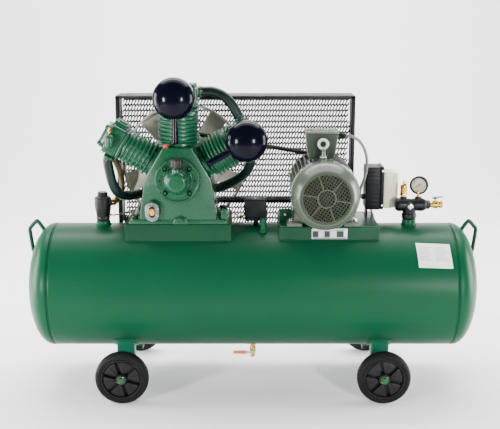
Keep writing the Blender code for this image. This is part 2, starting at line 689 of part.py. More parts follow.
def make_rotor():
    """The motor's shaft with its pressed rotor core."""
    profile = [
        (0, 0.228), (SHAFT_RADIUS, 0.228), (SHAFT_RADIUS, 0.075), (0.068, 0.075), (0.068, -0.105),
        (SHAFT_RADIUS, -0.105), (SHAFT_RADIUS, -0.200), (0.014, -0.200), (0.014, -0.255), (0, -0.255),
    ]
    turned("rotor_shaft", profile, "steel", (MOTOR_X, 0, MOTOR_Z), ALONG_Y, 16)


def make_terminal_box():
    low = (0.1940, -0.120, MOTOR_Z + MOTOR_RADIUS + 0.003)
    high = (0.3190, 0.000, 1.000)
    terminal_box = box("terminal_box", low, high, "motor_grey")
    bevel(terminal_box, 0.005)
    join(terminal_box, cylinder(
        "gland", 0.011, 0.120, 0.160, None, (0.189, -0.060, 0.977), ALONG_X, 12
    ))


def make_guard():
    """A folded steel surround with a mesh back, on two straps from the tank."""
    (left, right), (front, back), (bottom, top) = GUARD_X, GUARD_Y, GUARD_Z
    wall, flange = GUARD_SHEET, GUARD_FLANGE
    frame = box("guard_frame", (left, front, bottom), (right, back, top), "black_paint")
    boolean(frame, box(
        "guard_room", (left + wall, front - 0.01, bottom - 0.01), (right - wall, back - wall, top - wall)
    ))
    boolean(frame, box(
        "guard_window", (left + flange, back - 0.02, bottom - 0.01), (right - flange, back + 0.02, top - flange)
    ))
    low = MESH_BOTTOM
    join(frame, box("guard_rail", (left, back - wall, low), (right, back, low + flange)))
    for name, x in (("guard_post_left", left), ("guard_post_right", right - flange)):
        join(frame, box(name, (x, back - wall, low + 0.001), (x + flange, back, bottom + 0.020)))
    reach = TANK_RADIUS + 0.0004
    for i, x in enumerate((-0.400, 0.280)):
        join(frame, box(f"strap_{i + 1}", (x - 0.015, back - wall, 0.395), (x + 0.015, back, low + 0.012)))
        join(frame, box(f"strap_foot_{i + 1}", (x - 0.015, reach, 0.395), (x + 0.015, back - 0.001, 0.399)))
    inside = back - wall - GAP
    box(
        "guard_mesh", (left + wall + GAP, inside - wall, low), (right - wall - GAP, inside, top - wall - GAP),
        "black_paint",
    )


def make_controls():
    """The motor starter beside the motor, the pressure switch on its riser, and the motor's cable."""
    starter = box("starter_box", (0.441, 0.030, 0.674), (0.511, 0.130, 0.845), "dark_grey")
    join(starter, box("starter_bracket", (0.447, 0.045, MOTOR_BASE_TOP + GAP), (0.452, 0.115, 0.690)))
    cover = box("starter_cover", (0.511 + GAP, 0.034, 0.6795), (0.571, 0.126, 0.822), "cream")
    bevel(cover, 0.005)
    switch = box("pressure_switch", (-0.033, -0.030, 0.642), (0.054, 0.040, 0.727), "dark_grey")
    bevel(switch, 0.003)
    join(switch, cylinder("riser", 0.007, TANK_Z + TANK_RADIUS + 0.0003, 0.650, None, (0.012, 0, 0), steps=12))
    tube("motor_cable", [
        (0.3495, -0.060, 0.977), (0.370, -0.060, 0.976), (0.402, -0.055, 0.955), (0.427, -0.045, 0.910),
        (0.434, -0.030, 0.855), (0.427, -0.018, 0.805), (0.418, 0.010, 0.765), (0.419, 0.040, 0.735),
        (0.428, 0.060, 0.722), (0.4400, 0.062, 0.722),
    ], 0.0060, "cable", count=2)


def make_outlet():
    """The outlet manifold on the tank's right socket, with its safety valve, gauge and ball valve."""
    bottom = TANK_Z + TANK_RADIUS + 0.0003
    neck = [(0, 0.075), (0.025, 0.075), (0.025, 0.022), (0.023, 0.018), (0.023, 0), (0, 0)]
    manifold = turned("outlet_manifold", neck, "cast_black", (VALVE_X, 0, bottom), steps=18)
    body = [(0, 0.080), (0.015, 0.080), (0.015, 0.064), (0.026, 0.052), (0.026, -0.050), (0.020, -0.056), (0, -0.056)]
    join(manifold, turned("manifold_body", body, None, (VALVE_X, 0, 0.702), ALONG_X, 18))
    for name, x in (("safety_port", 0.583), ("gauge_port", GAUGE_X)):
        join(manifold, cylinder(name, 0.013, 0.705, 0.733, None, (x, 0, 0), steps=12))
    safety = [
        (0, 0.066), (0.005, 0.066), (0.007, 0.056), (0.012, 0.050), (0.0135, 0.044), (0.0135, 0.010), (0.009, 0.006),
        (0.009, 0), (0, 0),
    ]
    turned("safety_valve", safety, "brass", (0.583, 0, 0.733 + GAP), steps=12)
    ball = [
        (0, 0.048), (0.014, 0.048), (0.014, 0.036), (0.011, 0.032), (0.014, 0.028), (0.014, 0.012), (0.010, 0.008),
        (0.010, 0), (0, 0),
    ]
    valve = turned("ball_valve", ball, "brass", (VALVE_X + 0.080 + GAP, 0, 0.702), ALONG_X, 12)
    stem = (VALVE_X + 0.080 + 0.020, 0, 0)
    join(valve, cylinder("valve_stem", 0.005, 0.705, 0.726, None, stem, steps=10))
    lever = box("ball_valve_lever", (-0.010, -0.007, 0), (0.030, 0.007, 0.004), "dark_grey", (stem[0], 0, 0.7265))
    bevel(lever, 0.0015)


def make_gauge():
    """A pressure gauge: an open cup turned towards the front, and its pointer."""
    turn = Euler((math.pi / 2, 0, 0)).to_matrix()
    turn = Euler((0, 0, GAUGE_TURN)).to_matrix() @ turn
    profile = [(0, -0.026), (0.0325, -0.026), (0.0345, -0.021), (0.0345, 0.004), (0.0305, 0.004), (0.0305, -0.003)]
    profile = list(reversed(profile + [(0, -0.003)]))
    gauge = turned("pressure_gauge", profile, "cast_black", (GAUGE_X, 0, GAUGE_Z), turn.to_euler(), 20)
    join(gauge, cylinder("gauge_stem", 0.006, 0.733 + GAP, GAUGE_Z - 0.032, None, (GAUGE_X, 0, 0), steps=10))
    needle = box("gauge_needle", (-0.009, -0.001, -0.0008), (0.021, 0.001, 0.0004), "black_paint")
    needle.location = Vector((GAUGE_X, 0, GAUGE_Z)) + turn @ Vector((0, 0, 0.0010))
    needle.rotation_euler = (turn @ Euler((0, 0, math.radians(218))).to_matrix()).to_euler()


def make_drain():
    """The ball valve that drains the tank, with its sleeved lever across the flow."""
    top = TANK_Z - TANK_RADIUS - 0.0003
    profile = [
        (0, 0), (0.012, 0), (0.012, -0.018), (0.010, -0.022), (0.013, -0.028), (0.013, -0.048), (0.009, -0.054),
        (0.009, -0.067), (0, -0.067),
    ]
    valve = turned("drain_valve", profile, "brass", (0, 0, top), steps=12)
    join(valve, cylinder("drain_stem", 0.005, 0.005, 0.0195, None, (0, 0, 0.104), (math.pi / 2, 0, 0), 10))
    lever = box("drain_lever", (-0.078, -0.0035, -0.008), (0.008, 0.0035, 0.008), "orange", (0, -0.0235, 0.104))
    bevel(lever, 0.002)


def main():
    clear_scene()
    make_collections()
    make_materials()
    trim = tank_cutter()
    make_tank()
    make_handles()
    for place, side_x, side_y in (
        ("front_left", -1, -1), ("front_right", 1, -1), ("rear_left", -1, 1), ("rear_right", 1, 1)
    ):
        make_leg("leg_" + place, side_x, side_y, trim)
        make_wheel(place, side_x, side_y)
    make_base("pump_base", PUMP_BASE_X, PUMP_BASE_Y, PUMP_BASE_TOP, trim)
    make_base("motor_base", MOTOR_BASE_X, MOTOR_BASE_Y, MOTOR_BASE_TOP, trim)
    make_crankcase()
    make_bearing_cover()
    make_breather()
    make_sight_glass()
    for name, (tilt, bore, fin, out, half) in CYLINDERS.items():
        make_barrel(name, tilt, bore, fin, out)
        make_head(name, tilt, bore, out, half)
        make_piston(name, tilt, bore, out)
    for name in FILTERS:
        make_filter(name, CYLINDERS[name][0])
    make_pipes()
    make_check_valve()
    make_crankshaft()
    make_flywheel()
    make_motor_pulley()
    make_belts()
    make_motor_frame()
    make_fan_cowl()
    make_rotor()
    make_terminal_box()
    make_guard()
    make_controls()
    make_outlet()
    make_gauge()
    make_drain()


main()
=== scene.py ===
"""The looks of a V-belt-driven air compressor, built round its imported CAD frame."""

import random
from math import acos, asin, atan2, cos, pi, radians, sin, sqrt, tan

import bmesh
import bpy
from mathutils import Matrix, Vector


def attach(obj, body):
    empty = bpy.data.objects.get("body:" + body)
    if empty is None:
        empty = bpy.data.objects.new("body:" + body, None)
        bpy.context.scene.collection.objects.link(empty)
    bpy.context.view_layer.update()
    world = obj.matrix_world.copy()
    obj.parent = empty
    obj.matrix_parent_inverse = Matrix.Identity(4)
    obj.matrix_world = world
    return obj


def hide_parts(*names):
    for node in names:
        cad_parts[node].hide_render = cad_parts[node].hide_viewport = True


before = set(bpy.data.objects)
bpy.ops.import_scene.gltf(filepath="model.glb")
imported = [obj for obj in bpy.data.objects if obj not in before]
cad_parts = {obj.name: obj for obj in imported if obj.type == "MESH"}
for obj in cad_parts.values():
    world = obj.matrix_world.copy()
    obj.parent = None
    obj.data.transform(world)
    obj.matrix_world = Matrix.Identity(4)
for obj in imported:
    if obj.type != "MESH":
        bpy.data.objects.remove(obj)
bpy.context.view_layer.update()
ROOT = "compressor"

# Driving dimensions of the frame, in metres.
TANK_R, TANK_HALF, TANK_DEPTH, TANK_Z = 0.24, 0.76, 0.11, 0.385
TANK_TOP, TANK_LOW = TANK_Z + TANK_R, TANK_Z - TANK_R
WHEEL_X, WHEEL_Y, WHEEL_R, WHEEL_HALF, LEG_Y = 0.488, 0.271, 0.1, 0.025, 0.155
CRANK = Vector((-0.28, 0, 0.821))
CYLINDER_Y = -0.02
CASE_FRONT, CASE_BACK, CASE_FACE = -0.135, 0.09, 0.107
BARREL_END, HEAD_END = 0.235, 0.335
# tilt, bore, fin radius, how far further out it sits, half the head's width
CYLINDERS = {
    "middle": (0, 0.045, 0.079, 0.013, 0.076), "left": (-60, 0.036, 0.066, 0.0, 0.06),
    "right": (60, 0.045, 0.079, 0.0, 0.07),
}
FILTERS = {"middle": (-0.2874, 1.125), "right": (-0.0233, 0.97)}
MOTOR = Vector((0.2645, 0, 0.777))
BELT_Y, BELT_PITCH = 0.1605, 0.019
CRANK_PULLEY, MOTOR_PULLEY = 0.14, 0.0925
GUARD_X, GUARD_Y, GUARD_Z = (-0.545, 0.407), (0.155, 0.3105), (0.572, 1.107)
PUMP_BASE_TOP, MOTOR_BASE_TOP = 0.655, 0.644
THROW, ROD = 0.035, 0.145
GLASS_X, GLASS_Z = -0.374, 0.707
BLADES_Y, BLADES_R = 0.238, 0.25
BOX_TOP = 0.9995
CHECK_X, OUTLET_X, OUTLET_Z, SAFETY_X, GAUGE_X, DRAIN_Z = -0.5816, 0.607, 0.702, 0.583, 0.641, 0.104
CAMERA, CAMERA_TILT = (-0.011, -3.418, 1.421), 0.2184


def spin(axis, degrees):
    return Matrix.Rotation(radians(degrees), 4, axis)


FRONT = spin("X", 90)  # local +Z to the front, local +Y up
BACK = spin("X", -90)  # local +Z to the back
RIGHT = spin("Y", 90)  # local +Z to the right, local +X down


def at(x, y, z, turn=None):
    place = Matrix.Translation((x, y, z))
    return place @ turn if turn else place


# ---------------------------------------------------------------- materials

def node_tree(name):
    material = bpy.data.materials.new(name)
    material.use_nodes = True
    tree = material.node_tree
    return material, tree, tree.nodes["Principled BSDF"]


def noise_node(tree, scale, detail=3.0, roughness=0.5, stretch=None):
    coordinates = tree.nodes.new("ShaderNodeTexCoord")
    noise = tree.nodes.new("ShaderNodeTexNoise")
    noise.inputs["Scale"].default_value = scale
    noise.inputs["Detail"].default_value = detail
    noise.inputs["Roughness"].default_value = roughness
    source = coordinates.outputs["Object"]
    if stretch:
        mapping = tree.nodes.new("ShaderNodeMapping")
        mapping.inputs["Scale"].default_value = stretch
        tree.links.new(source, mapping.inputs["Vector"])
        source = mapping.outputs["Vector"]
    tree.links.new(source, noise.inputs["Vector"])
    return noise.outputs["Fac"]


def ramp_node(tree, factor, stops):
    """A colour ramp: stops are (position, colour)."""
    ramp = tree.nodes.new("ShaderNodeValToRGB")
    elements = ramp.color_ramp.elements
    while len(elements) < len(stops):
        elements.new(0.5)
    for element, (position, colour) in zip(elements, stops):
        element.position = position
        element.color = (*colour, 1)
    tree.links.new(factor, ramp.inputs["Fac"])
    return ramp.outputs["Color"]


def range_node(tree, value, low, high, from_low=0.3, from_high=0.7):
    node = tree.nodes.new("ShaderNodeMapRange")
    for name, number in (("From Min", from_low), ("From Max", from_high), ("To Min", low),
                         ("To Max", high)):
        node.inputs[name].default_value = number
    tree.links.new(value, node.inputs["Value"])
    return node.outputs["Result"]


def mix_node(tree, factor, first, second, blend="MIX"):
    node = tree.nodes.new("ShaderNodeMix")
    node.data_type, node.blend_type = "RGBA", blend
    for socket, value in ((node.inputs[0], factor), (node.inputs[6], first), (node.inputs[7], second)):
        if isinstance(value, (tuple, float, int)):
            socket.default_value = (*value, 1) if isinstance(value, tuple) else value
        else:
            tree.links.new(value, socket)
    return node.outputs[2]


def bump_node(tree, height, strength, distance, normal=None):
    node = tree.nodes.new("ShaderNodeBump")
    node.inputs["Strength"].default_value = strength
    node.inputs["Distance"].default_value = distance
    tree.links.new(height, node.inputs["Height"])
    if normal:
        tree.links.new(normal, node.inputs["Normal"])
    return node.outputs["Normal"]


def scaled(colour, factor):
    return tuple(min(1.0, c * factor) for c in colour)


def surface(name, colour, rough, tone, grain, metallic=0.0, specular=0.5, coat=0.0, dust=0.0, lumps=None,
            wear=None, stretch=None):
    """A procedural finish: uneven tone and gloss, fine grain, optional lumps, worn specks and dust."""
    material, tree, shader = node_tree(name)
    cloud = noise_node(tree, tone[1], 5.0, 0.6, stretch)
    shade = ramp_node(tree, cloud,
                      [(0.3, scaled(colour, 1 - tone[0])), (0.7, scaled(colour, 1 + tone[0]))])
    if wear:
        specks = noise_node(tree, 60.0, 8.0, 0.75)
        amount = range_node(tree, specks, 0.0, 1.0, wear[1], wear[1] + 0.05)
        shade = mix_node(tree, amount, shade, wear[0])
    if dust:
        normal = tree.nodes.new("ShaderNodeNewGeometry")
        split = tree.nodes.new("ShaderNodeSeparateXYZ")
        tree.links.new(normal.outputs["Normal"], split.inputs["Vector"])
        lying = range_node(tree, split.outputs["Z"], 0.0, dust, 0.3, 1.0)
        shade = mix_node(tree, lying, shade, DUST)
    tree.links.new(shade, shader.inputs["Base Color"])
    tree.links.new(range_node(tree, noise_node(tree, tone[1] * 3, 4.0, 0.6, stretch), *rough),
                   shader.inputs["Roughness"])
    shader.inputs["Metallic"].default_value = metallic
    shader.inputs["Specular IOR Level"].default_value = specular
    shader.inputs["Coat Weight"].default_value = coat
    shader.inputs["Coat Roughness"].default_value = 0.12
    normal = None
    if lumps:
        normal = bump_node(tree, noise_node(tree, lumps[0], 3.0, 0.6), 0.6, lumps[1])
    normal = bump_node(tree, noise_node(tree, grain[0], 2.0, 0.5, stretch), 0.5, grain[1], normal)
    tree.links.new(normal, shader.inputs["Normal"])
    return material


def finish(*values, **options):
    return values, options


GREEN = (0.003, 0.061, 0.0255)
DUST = (0.45, 0.44, 0.42)
# colour, roughness (low, high), tone (amount, scale), grain (scale, depth); lumps are as grain,
# and wear is a colour and how much of the surface stays free of it
FINISHES = {
    "tank_green": finish(GREEN, (0.33, 0.38), (0.07, 2.5), (90, 0.00003), specular=0.11),
    "sheet_green": finish((0.0026, 0.042, 0.017), (0.3, 0.42), (0.1, 6), (300, 0.00014), specular=0.2,
                          wear=((0.008, 0.105, 0.05), 0.73)),
    "leg_green": finish((0.0052, 0.086, 0.046), (0.3, 0.42), (0.08, 6), (300, 0.00014), specular=0.22,
                        wear=((0.01, 0.13, 0.07), 0.73)),
    "cast_green": finish((0.0042, 0.062, 0.025), (0.22, 0.32), (0.12, 9), (520, 0.0003),
                         lumps=(110, 0.0004), specular=0.34, wear=((0.002, 0.058, 0.022), 0.7)),
    "fin_green": finish((0.0045, 0.086, 0.037), (0.26, 0.36), (0.1, 14), (500, 0.0001),
                        lumps=(140, 0.00015), specular=0.46),
    "pipe_green": finish((0.0028, 0.0125, 0.011), (0.28, 0.4), (0.16, 8), (420, 0.0002), specular=0.26,
                         wear=((0.008, 0.03, 0.024), 0.72)),
    "black_steel": finish((0.0045, 0.005, 0.0065), (0.4, 0.58), (0.25, 10), (700, 0.0003), specular=0.2,
                          dust=0.02, wear=((0.02, 0.02, 0.02), 0.74)),
    "mesh_black": finish((0.004, 0.0045, 0.006), (0.45, 0.6), (0.25, 10), (700, 0.0003), specular=0.22),
    "filter_black": finish((0.0018, 0.0021, 0.0068), (0.12, 0.17), (0.2, 5), (150, 0.00003),
                           specular=0.11),
    "cast_black": finish((0.0035, 0.004, 0.0048), (0.32, 0.48), (0.3, 18), (600, 0.0004),
                         lumps=(160, 0.0006), specular=0.26, wear=((0.012, 0.012, 0.012), 0.71)),
    "tyre": finish((0.004, 0.0044, 0.0042), (0.5, 0.68), (0.25, 16), (900, 0.0003), specular=0.15,
                   wear=((0.01, 0.01, 0.009), 0.68)),
    "belt": finish((0.007, 0.007, 0.008), (0.55, 0.75), (0.3, 30), (1500, 0.0003), stretch=(1, 6, 1),
                   specular=0.3),
    "nylon": finish((0.0042, 0.0046, 0.0044), (0.34, 0.48), (0.2, 20), (800, 0.0002), specular=0.22,
                    wear=((0.01, 0.01, 0.01), 0.71)),
    "cap_brown": finish((0.012, 0.007, 0.006), (0.3, 0.46), (0.25, 40), (900, 0.0002), specular=0.35),
    "motor_paint": finish((0.066, 0.083, 0.061), (0.18, 0.3), (0.09, 8), (420, 0.0002), specular=0.5,
                          wear=((0.07, 0.085, 0.064), 0.72)),
    "grille_paint": finish((0.03, 0.04, 0.024), (0.32, 0.42), (0.1, 14), (420, 0.0002), specular=0.24),
    "grille_rib": finish((0.05, 0.064, 0.041), (0.3, 0.42), (0.1, 14), (420, 0.0002), specular=0.28),
    "motor_cast": finish((0.064, 0.08, 0.059), (0.28, 0.44), (0.18, 14), (520, 0.0004),
                         lumps=(130, 0.0005), specular=0.4),
    "box_paint": finish((0.022, 0.035, 0.022), (0.3, 0.44), (0.15, 10), (480, 0.0003),
                        lumps=(150, 0.0004), specular=0.28),
    "pale_paint": finish((0.52, 0.54, 0.47), (0.28, 0.4), (0.08, 30), (600, 0.0002), specular=0.45),
    "fan_cast": finish((0.66, 0.63, 0.54), (0.45, 0.65), (0.2, 12), (420, 0.0005), lumps=(90, 0.001),
                       metallic=0.1, specular=0.3, wear=((0.19, 0.175, 0.14), 0.66)),
    "machined": finish((0.42, 0.42, 0.42), (0.18, 0.34), (0.15, 30), (1200, 0.0001), metallic=1.0,
                       stretch=(1, 1, 9)),
    "zinc": finish((0.62, 0.63, 0.64), (0.2, 0.38), (0.18, 60), (900, 0.0001), metallic=1.0),
    "dull_zinc": finish((0.2, 0.2, 0.205), (0.28, 0.45), (0.25, 90), (900, 0.0003), metallic=0.8),
    "brass": finish((0.72, 0.44, 0.085), (0.16, 0.32), (0.22, 60), (900, 0.00015), metallic=1.0,
                    wear=((0.34, 0.2, 0.05), 0.66)),
    "copper": finish((0.66, 0.27, 0.13), (0.22, 0.4), (0.25, 40), (900, 0.0001), metallic=1.0),
    "bronze_tube": finish((0.115, 0.085, 0.042), (0.34, 0.55), (0.35, 50), (700, 0.0003), metallic=0.7,
                          wear=((0.42, 0.33, 0.16), 0.62)),
    "enclosure": finish((0.0032, 0.005, 0.0062), (0.38, 0.5), (0.2, 14), (700, 0.0002), specular=0.16),
    "cream": finish((0.86, 0.79, 0.62), (0.34, 0.48), (0.04, 9), (600, 0.0001),
                    wear=((0.72, 0.64, 0.5), 0.72)),
    "orange": finish((0.6, 0.13, 0.045), (0.35, 0.5), (0.15, 50), (900, 0.0002)),
    "red": finish((0.48, 0.022, 0.012), (0.3, 0.45), (0.12, 60), (900, 0.0001)),
    "conduit": finish((0.16, 0.165, 0.14), (0.4, 0.58), (0.12, 30), (900, 0.0001)),
    "dial": finish((0.95, 0.93, 0.76), (0.45, 0.55), (0.03, 60), (900, 0.00002)),
    "amber": finish((0.62, 0.25, 0.03), (0.06, 0.12), (0.3, 70), (300, 0.00005), coat=0.8),
    # This near-black serves real gaskets and seams, and also painted shade: the floors of the front
    # cover's bolt pockets, the cover's two holes and the safety valve's vent slits
    "gasket_and_painted_shade": finish((0.008, 0.009, 0.008), (0.6, 0.8), (0.3, 50), (900, 0.0002), specular=0.2),
    "lever_green": finish((0.012, 0.024, 0.018), (0.2, 0.34), (0.2, 50), (700, 0.0001), specular=0.6),
    "plate": finish((0.52, 0.54, 0.53), (0.28, 0.42), (0.08, 30), (900, 0.00008), metallic=0.3,
                    stretch=(9, 1, 1)),
    "paper": finish((0.9, 0.9, 0.89), (0.3, 0.42), (0.02, 30), (500, 0.00003)),
    "ink": finish((0.008, 0.01, 0.01), (0.4, 0.5), (0.2, 90), (900, 0.00002)),
    "pale_ink": finish((0.55, 0.56, 0.56), (0.35, 0.45), (0.1, 90), (900, 0.00002)),
}
MATERIALS = {name: surface(name, *values, **options) for name, (values, options) in FINISHES.items()}


# ---------------------------------------------------------------- shapes

def fillet(points, radius, steps=4, closed=False):
    """The points with their corners rounded by up to radius."""
    points = [Vector(p) for p in points]
    count, result = len(points), []
    for i, corner in enumerate(points):
        if not closed and i in (0, count - 1):
            result.append(corner)
            continue
        before, after = points[i - 1] - corner, points[(i + 1) % count] - corner
        if before.length < 1e-6 or after.length < 1e-6:
            result.append(corner)
            continue
        reach = min(radius, before.length * 0.45, after.length * 0.45)
        start, end = corner + before.normalized() * reach, corner + after.normalized() * reach
        for k in range(steps + 1):
            t = k / steps
            result.append(start * (1 - t) ** 2 + corner * 2 * t * (1 - t) + end * t * t)
    return [tuple(p) for p in result]


def rectangle(half_x, half_y, radius, steps):
    corners = [(-half_x, -half_y), (half_x, -half_y), (half_x, half_y), (-half_x, half_y)]
    return fillet(corners, radius, steps, closed=True)


def bridge(bm, first, second, around=True):
    """Faces between two rows of vertices; around closes the rows into rings."""
    count = len(first)
    for k in range(count if around else count - 1):
        n = (k + 1) % count
        bm.faces.new((first[k], first[n], second[n], second[k]))


def grid_border(rows):
    """The vertices round the edge of a grid, in order."""
    left, right = [row[0] for row in rows], [row[-1] for row in rows]
    return left[:-1] + rows[-1][:-1] + right[:0:-1] + rows[0][:0:-1]


def smooth_route(points, count):
    """Points of a Catmull-Rom curve through the given points."""
    points = [Vector(p) for p in points]
    ends = [2 * points[0] - points[1], *points, 2 * points[-1] - points[-2]]
    result = []
    for i in range(len(points) - 1):
        a, b, c, d = ends[i:i + 4]
        for k in range(count):
            t = k / count
            result.append(0.5 * (2 * b + (c - a) * t + (2 * a - 5 * b + 4 * c - d) * t * t
                                 + (3 * b - a - 3 * c + d) * t ** 3))
    return result + [points[-1]]


def stub(first_radius, last_radius, first, last):
    """The lathe profile of a short cylinder or cone, from its first height to its last."""
    return [(0, first), (first_radius, first), (last_radius, last), (0, last)]


def polar(radius, angle):
    return radius * cos(angle), radius * sin(angle)


def circle(radius, count, centre=(0, 0), start=0.0):
    return [(centre[0] + radius * cos(start + 2 * pi * k / count),
             centre[1] + radius * sin(start + 2 * pi * k / count)) for k in range(count)]


def stadium(width, height, steps=10):
    """A slot outline, taller than wide, about its centre."""
    r, lift = width / 2, (height - width) / 2
    top = [(r * cos(pi * k / steps), lift + r * sin(pi * k / steps)) for k in range(steps + 1)]
    return top + [(-x, -y) for x, y in top]


class Piece:
    """One visible object, gathered from shapes that each have their own material."""

    def __init__(self, name):
        self.name, self.bm, self.materials = name, bmesh.new(), []

    def add(self, bm, material, matrix=None, bevel=0.0, segments=2, angle=40):
        if bevel:
            bm.normal_update()
            sharp = [e for e in bm.edges if len(e.link_faces) == 2
                     and e.calc_face_angle(0) > radians(angle)]
            bmesh.ops.bevel(bm, geom=sharp, offset=bevel, segments=segments, profile=0.5, affect="EDGES",
                            clamp_overlap=True)
        bmesh.ops.recalc_face_normals(bm, faces=bm.faces)
        if matrix:
            bmesh.ops.transform(bm, matrix=matrix, verts=bm.verts)
        if material not in self.materials:
            self.materials.append(material)
        for face in bm.faces:
            face.material_index = self.materials.index(material)
        mesh = bpy.data.meshes.new("part")
        bm.to_mesh(mesh)
        bm.free()
        self.bm.from_mesh(mesh)
        bpy.data.meshes.remove(mesh)
        return self

    def lathe(self, material, profile, matrix=None, steps=48, closed=False, knurl=None):
        """A (radius, height) profile turned about Z. knurl is (ribs, depth, first point, last point)."""
        bm, rings = bmesh.new(), []
        for i, (radius, height) in enumerate(profile):
            if radius < 1e-6:
                rings.append([bm.verts.new((0, 0, height))])
                continue
            ring = []
            for k in range(steps):
                angle, r = 2 * pi * k / steps, radius
                if knurl and knurl[2] <= i <= knurl[3]:
                    r -= knurl[1] * (0.5 - 0.5 * cos(angle * knurl[0]))
                ring.append(bm.verts.new((*polar(r, angle), height)))
            rings.append(ring)
        pairs = list(zip(rings, rings[1:])) + ([(rings[-1], rings[0])] if closed else [])
        for a, b in pairs:
            for k in range(steps):
                n = (k + 1) % steps
                if len(a) == 1 and len(b) == 1:
                    break
                if len(a) == 1:
                    bm.faces.new((a[0], b[n], b[k]))
                elif len(b) == 1:
                    bm.faces.new((a[k], a[n], b[0]))
                else:
                    bm.faces.new((a[k], a[n], b[n], b[k]))
        if not closed:
            for ring in (rings[0], rings[-1]):
                if len(ring) > 1:
                    bm.faces.new(ring)
        return self.add(bm, material, matrix)

    def block(self, material, low, high, matrix=None, bevel=0.0015, segments=2):
        low, high = Vector(low), Vector(high)
        bm = bmesh.new()
        bmesh.ops.create_cube(bm, size=1.0)
        bmesh.ops.transform(bm, matrix=Matrix.LocRotScale((low + high) / 2, None, high - low),
                            verts=bm.verts)
        return self.add(bm, material, matrix, bevel, segments)

    def prism(self, material, outline, low, high, matrix=None, bevel=0.0, segments=2, angle=40,
              top_scale=1.0):
        """An outline extruded along Z from low to high."""
        bm = bmesh.new()
        bottom = [bm.verts.new((x, y, low)) for x, y in outline]
        top = [bm.verts.new((x * top_scale, y * top_scale, high)) for x, y in outline]
        bm.faces.new(list(reversed(bottom)))
        bm.faces.new(top)
        bridge(bm, bottom, top)
        return self.add(bm, material, matrix, bevel, segments, angle)

    def pipe(self, material, route, radius, sides=16, matrix=None, closed=False):
        """A round sweep. radius is a number, or a function of the point's index and the count."""
        bm, rings, count = bmesh.new(), [], len(route)
        route = [Vector(p) for p in route]
        normal = None
        for i, point in enumerate(route):
            before = route[i - 1] if (i or closed) else point
            after = route[(i + 1) % count] if (i < count - 1 or closed) else point
            tangent = (after - before).normalized()
            if normal is None:
                normal = tangent.orthogonal().normalized()
            normal = (normal - tangent * normal.dot(tangent)).normalized()
            side = tangent.cross(normal)
            r = radius(i, count) if callable(radius) else radius
            rings.append([bm.verts.new(point + r * (normal * cos(a) + side * sin(a)))
                          for a in (2 * pi * k / sides for k in range(sides))])
        for a, b in zip(rings, rings[1:] + ([rings[0]] if closed else [])):
            bridge(bm, a, b)
        if not closed:
            bm.faces.new(list(reversed(rings[0])))
            bm.faces.new(rings[-1])
        return self.add(bm, material, matrix)

    def ring(self, material, major, minor, matrix=None, steps=40, sides=12):
        profile = [(major + minor * cos(2 * pi * k / sides), minor * sin(2 * pi * k / sides))
                   for k in range(sides)]
        return self.lathe(material, profile, matrix, steps, closed=True)

    def bolt(self, material, matrix, width=0.013, height=0.006, washer=0.0):
        """A hexagon head standing on local Z = 0, with its chamfer and washer."""
        lift = 0.0
        if washer:
            self.lathe(material, fillet(stub(washer, washer, 0.0016, 0), 0.0005, 2), matrix, 20)
            lift = 0.0016
        radius = width / sqrt(3)
        self.prism(material, circle(radius, 6), lift, lift + height, matrix, bevel=0.0006, segments=1)
        return self.lathe(material, [(0, lift + height + 0.0006), (radius * 0.78, lift + height + 0.0006),
                                     (radius * 0.86, lift + height - 0.0004)], matrix, 18)

    def nut(self, material, radius, low, high, matrix, bevel, start=0.0):
        return self.prism(material, circle(radius, 6, start=start), low, high, matrix, bevel)

    def bead(self, material, route, radius=0.0028, seed=1, matrix=None, closed=False):
        """A weld bead with its uneven ripple."""
        rng = random.Random(seed)
        wobble = [rng.uniform(0.82, 1.18) for _ in range(len(route) + 1)]
        return self.pipe(material, route, lambda i, n: radius * wobble[i], 8, matrix, closed)

    def done(self, body=ROOT, replaces=(), angle=35):
        bm = self.bm
        bm.normal_update()
        for face in bm.faces:
            face.smooth = True
        for edge in bm.edges:
            edge.smooth = len(edge.link_faces) == 2 and edge.calc_face_angle(0) < radians(angle)
        mesh = bpy.data.meshes.new(self.name)
        bm.to_mesh(mesh)
        bm.free()
        for key in self.materials:
            mesh.materials.append(MATERIALS[key])
        obj = bpy.data.objects.new(self.name, mesh)
        bpy.context.scene.collection.objects.link(obj)
        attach(obj, body)
        if replaces:
            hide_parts(*replaces)
        return obj


def straight(start, end, count):
    start, end = Vector(start), Vector(end)
    return [start.lerp(end, k / count) for k in range(count + 1)]


# ---------------------------------------------------------------- tank and running gear

def tank_surface(y):
    """Height of the tank's top at a distance from its middle plane."""
    return TANK_Z + sqrt(TANK_R ** 2 - y ** 2)


def dished_profile():
    """The tank's outline from its left apex to its right apex, with its joggled seams."""
    half, radius = TANK_HALF, TANK_R - 0.0006
    start, depth = half + 0.017, TANK_DEPTH - 0.018
    head = []
    for k in range(33):
        angle = pi / 2 * k / 32
        head.append((radius * sin(angle) ** 0.97, start + depth * cos(angle)))
    seam = [(radius + 0.0004, start - 0.003), (radius + 0.0001, start - 0.006),
            (radius - 0.0014, start - 0.008), (radius - 0.0042, start - 0.0098),
            (radius - 0.005, start - 0.0125), (radius - 0.0034, start - 0.015),
            (radius - 0.0012, start - 0.0162), (radius - 0.0004, start - 0.019),
            (radius - 0.0006, start - 0.023)]
    right = head + seam
    return right + [(r, -h) for r, h in reversed(right)]


